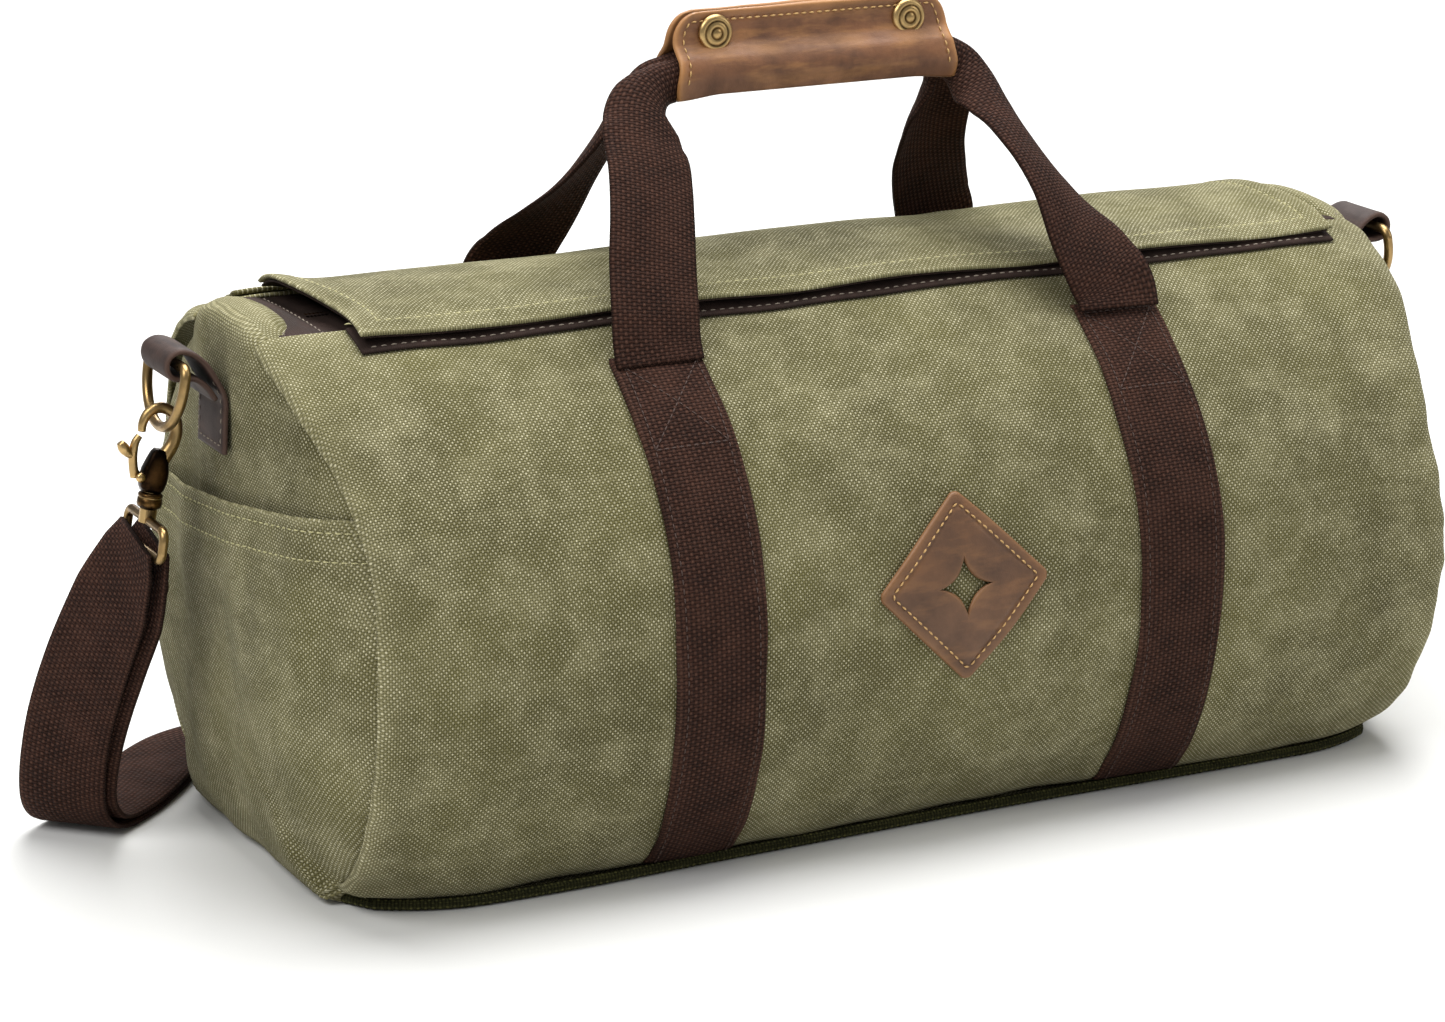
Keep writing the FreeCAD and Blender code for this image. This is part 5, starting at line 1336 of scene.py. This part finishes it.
# out, back, height in metres, then the strap's width direction (out, back, up)
OUTER_DROP = (
    (0.2983, 0.0, 0.1388, 0, 1, 0), (0.3010, 0.0015, 0.1300, 0.2, 0.97, 0.07),
    (0.3068, 0.0090, 0.1100, 0.48, 0.85, 0.12), (0.3140, 0.0220, 0.0810, 0.6, 0.79, 0.08),
    (0.3190, 0.0340, 0.0520, 0.66, 0.75, 0.03), (0.3205, 0.0410, 0.0270, 0.7, 0.71, 0),
    (0.3185, 0.0460, 0.0110, 0.72, 0.69, 0), (0.3085, 0.0530, 0.0018, 0.72, 0.69, 0))
INNER_DROP = (
    (0.2907, 0.0, 0.1374, 0, 1, 0), (0.2935, 0.0015, 0.1285, 0.15, 0.98, 0.05),
    (0.2992, 0.0090, 0.1075, 0.45, 0.87, 0.12), (0.3075, 0.0215, 0.0800, 0.6, 0.79, 0.08),
    (0.3130, 0.0335, 0.0520, 0.66, 0.75, 0.03), (0.3155, 0.0410, 0.0290, 0.7, 0.71, 0),
    (0.3140, 0.0465, 0.0150, 0.72, 0.69, 0), (0.3060, 0.0545, 0.0050, 0.72, 0.69, 0))
FLOOR_CORNER = (
    (0.2890, 0.0680, 0.0016, 0.7, 0.7, 0), (0.2720, 0.0870, 0.0016, 0.76, 0.64, 0),
    (0.2560, 0.1080, 0.0016, 0.7, 0.7, 0), (0.2340, 0.1250, 0.0016, 0.3, 0.95, 0),
    (0.2000, 0.1280, 0.0016, 0, 1, 0),
    (0.1200, 0.1275, 0.0016, 0, 1, 0))
MEETING = -0.040
LEFT_END = ((-MEETING, 0.1270, 0.0016, 0, 1, 0),)
RIGHT_END = ((0.0, 0.1270, 0.0016, 0, 1, 0), (MEETING, 0.1270, 0.0016, 0, 1, 0))
RETURN_RUN = (
    (0.2880, 0.0685, 0.0047, 0.7, 0.7, 0), (0.2720, 0.0870, 0.0047, 0.76, 0.64, 0),
    (0.2560, 0.1080, 0.0047, 0.7, 0.7, 0), (0.2340, 0.1250, 0.0047, 0.3, 0.95, 0),
    (0.2000, 0.1280, 0.0047, 0, 1, 0),
    (0.1200, 0.1275, 0.0047, 0, 1, 0), (0.0520, 0.1270, 0.0047, 0, 1, 0))


def strap_part(name, stations):
    """Flat webbing along a NURBS line; returns the mesh and the points it follows, in metres."""
    curve = bpy.data.curves.new(name + "_line", "CURVE")
    curve.dimensions = "3D"
    curve.resolution_u = 10
    spline = curve.splines.new("NURBS")
    spline.points.add(len(stations) - 1)
    for point, station in zip(spline.points, stations):
        point.co = tuple(station[:3]) + (1.0,)
    spline.order_u = 3
    spline.use_endpoint_u = True
    line = bpy.data.objects.new(name + "_line", curve)
    bpy.context.scene.collection.objects.link(line)
    bpy.context.view_layer.update()
    traced = bpy.data.meshes.new_from_object(line)
    path = np.array([v.co for v in traced.vertices])
    bpy.data.objects.remove(line)
    bpy.data.meshes.remove(traced)
    stations = np.array(stations)
    gaps = distances(stations[:, :3])
    travel = distances(path)
    across = sampled(travel / travel[-1] * gaps[-1], gaps, stations[:, 3:])
    section = strip_section(STRAP * 1000, STRAP_THICK, 0.02, 1.0, 14)
    wear_and_highlight = np.zeros((len(path), len(section)))
    wear_and_highlight[:, (0, 14, 15, 29)] = 0.7
    piece = sweep(name, path * 1000, section, WEBBING, across=across, wear_and_highlight=wear_and_highlight)
    return piece, path.tolist()


def mirrored(stations, end):
    return [(end * s[0], s[1], s[2], end * s[3], s[4], s[5]) for s in stations]


rivet_profile = ((0.1, 2.4), (3.0, 2.3), (5.4, 1.8), (6.6, 1.0), (7.0, 0.3), (7.0, 0.0))
start = np.array(hung(-1, -8.4, 0, 62.0))
rivet_axis = (math.cos(HANG), 0, math.sin(HANG))
rivet = lathe("strap_rivet_disc", rivet_profile, start, rivet_axis, DARK_BRASS)
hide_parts("strap_rivet")
STRAPS = (("left", -1, OUTER_DROP + FLOOR_CORNER + LEFT_END, 0.445),
          ("right", 1, OUTER_DROP + FLOOR_CORNER + RIGHT_END, 0.525))
for end_name, end, stations, length in STRAPS:
    drop, path = strap_part("strap_%s_webbing" % end_name, mirrored(stations, end))
    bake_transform(drop)
    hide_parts("strap_drop_" + end_name)
    riders = list(hooks[end_name])
    if end < 0:
        riders.append(rivet)
        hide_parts("strap_floor_run")
inner, path = strap_part("strap_return_webbing", mirrored(INNER_DROP + RETURN_RUN, -1))
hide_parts("strap_return_drop", "strap_return_run")
for piece in (inner, rivet):
    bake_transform(piece)

# ---- floor, light and camera ----
floor_shader = Shader("pale_floor")
floor_place = floor_shader.node("TexCoord").outputs["Object"]
grain = floor_shader.noise(floor_place, 3.0, 2.0)
floor_colour = floor_shader.mix(floor_shader.spread(grain, 0.3, 0.7), tone("#DCDCDA"), tone("#E0E0DE"))
floor_material = floor_shader.finish(floor_colour, 0.9)
reach = 6000.0
corners = [(-reach, -reach, 0), (reach, -reach, 0), (reach, reach, 0), (-reach, reach, 0)]
floor = make_piece("floor", corners, [[0, 1, 2, 3]], floor_material)
floor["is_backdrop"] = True

bpy.context.scene.view_settings.view_transform = "Standard"
world = bpy.data.worlds.new("studio")
bpy.context.scene.world = world
world.use_nodes = True
world.node_tree.nodes["Background"].inputs[0].default_value = (1.0, 1.0, 1.0, 1.0)
world.node_tree.nodes["Background"].inputs[1].default_value = 0.36


def area_light(name, place, size, power, aim=(0, 0, 0.15)):
    data = bpy.data.lights.new(name, "AREA")
    data.shape = "DISK"
    data.size = size
    data.energy = power
    lamp = bpy.data.objects.new(name, data)
    lamp.location = place
    lamp.rotation_euler = (Vector(aim) - Vector(place)).to_track_quat("-Z", "Y").to_euler()
    bpy.context.scene.collection.objects.link(lamp)


area_light("key", (-1.9, -0.7, 2.2), 1.6, 40)
area_light("top", (0.3, 0.3, 2.5), 2.2, 92)
area_light("far_floor", (1.6, 3.6, 2.6), 2.4, 95, (0.9, 1.8, 0))
area_light("fill", (2.2, -1.4, 1.3), 1.6, 12)

CAMERA_PLACE = (-0.8014, -1.5063, 0.6041)
CAMERA_AIM = (-0.0391, 0, 0.1152)
lens = bpy.data.cameras.new("photo_camera")
lens.lens = 103.6
lens.sensor_width = 36.0
camera = bpy.data.objects.new("photo_camera", lens)
camera.location = CAMERA_PLACE
camera.rotation_euler = (Vector(CAMERA_AIM) - Vector(CAMERA_PLACE)).to_track_quat("-Z", "Y").to_euler()
bpy.context.scene.collection.objects.link(camera)
bpy.context.scene.camera = camera

low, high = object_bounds()
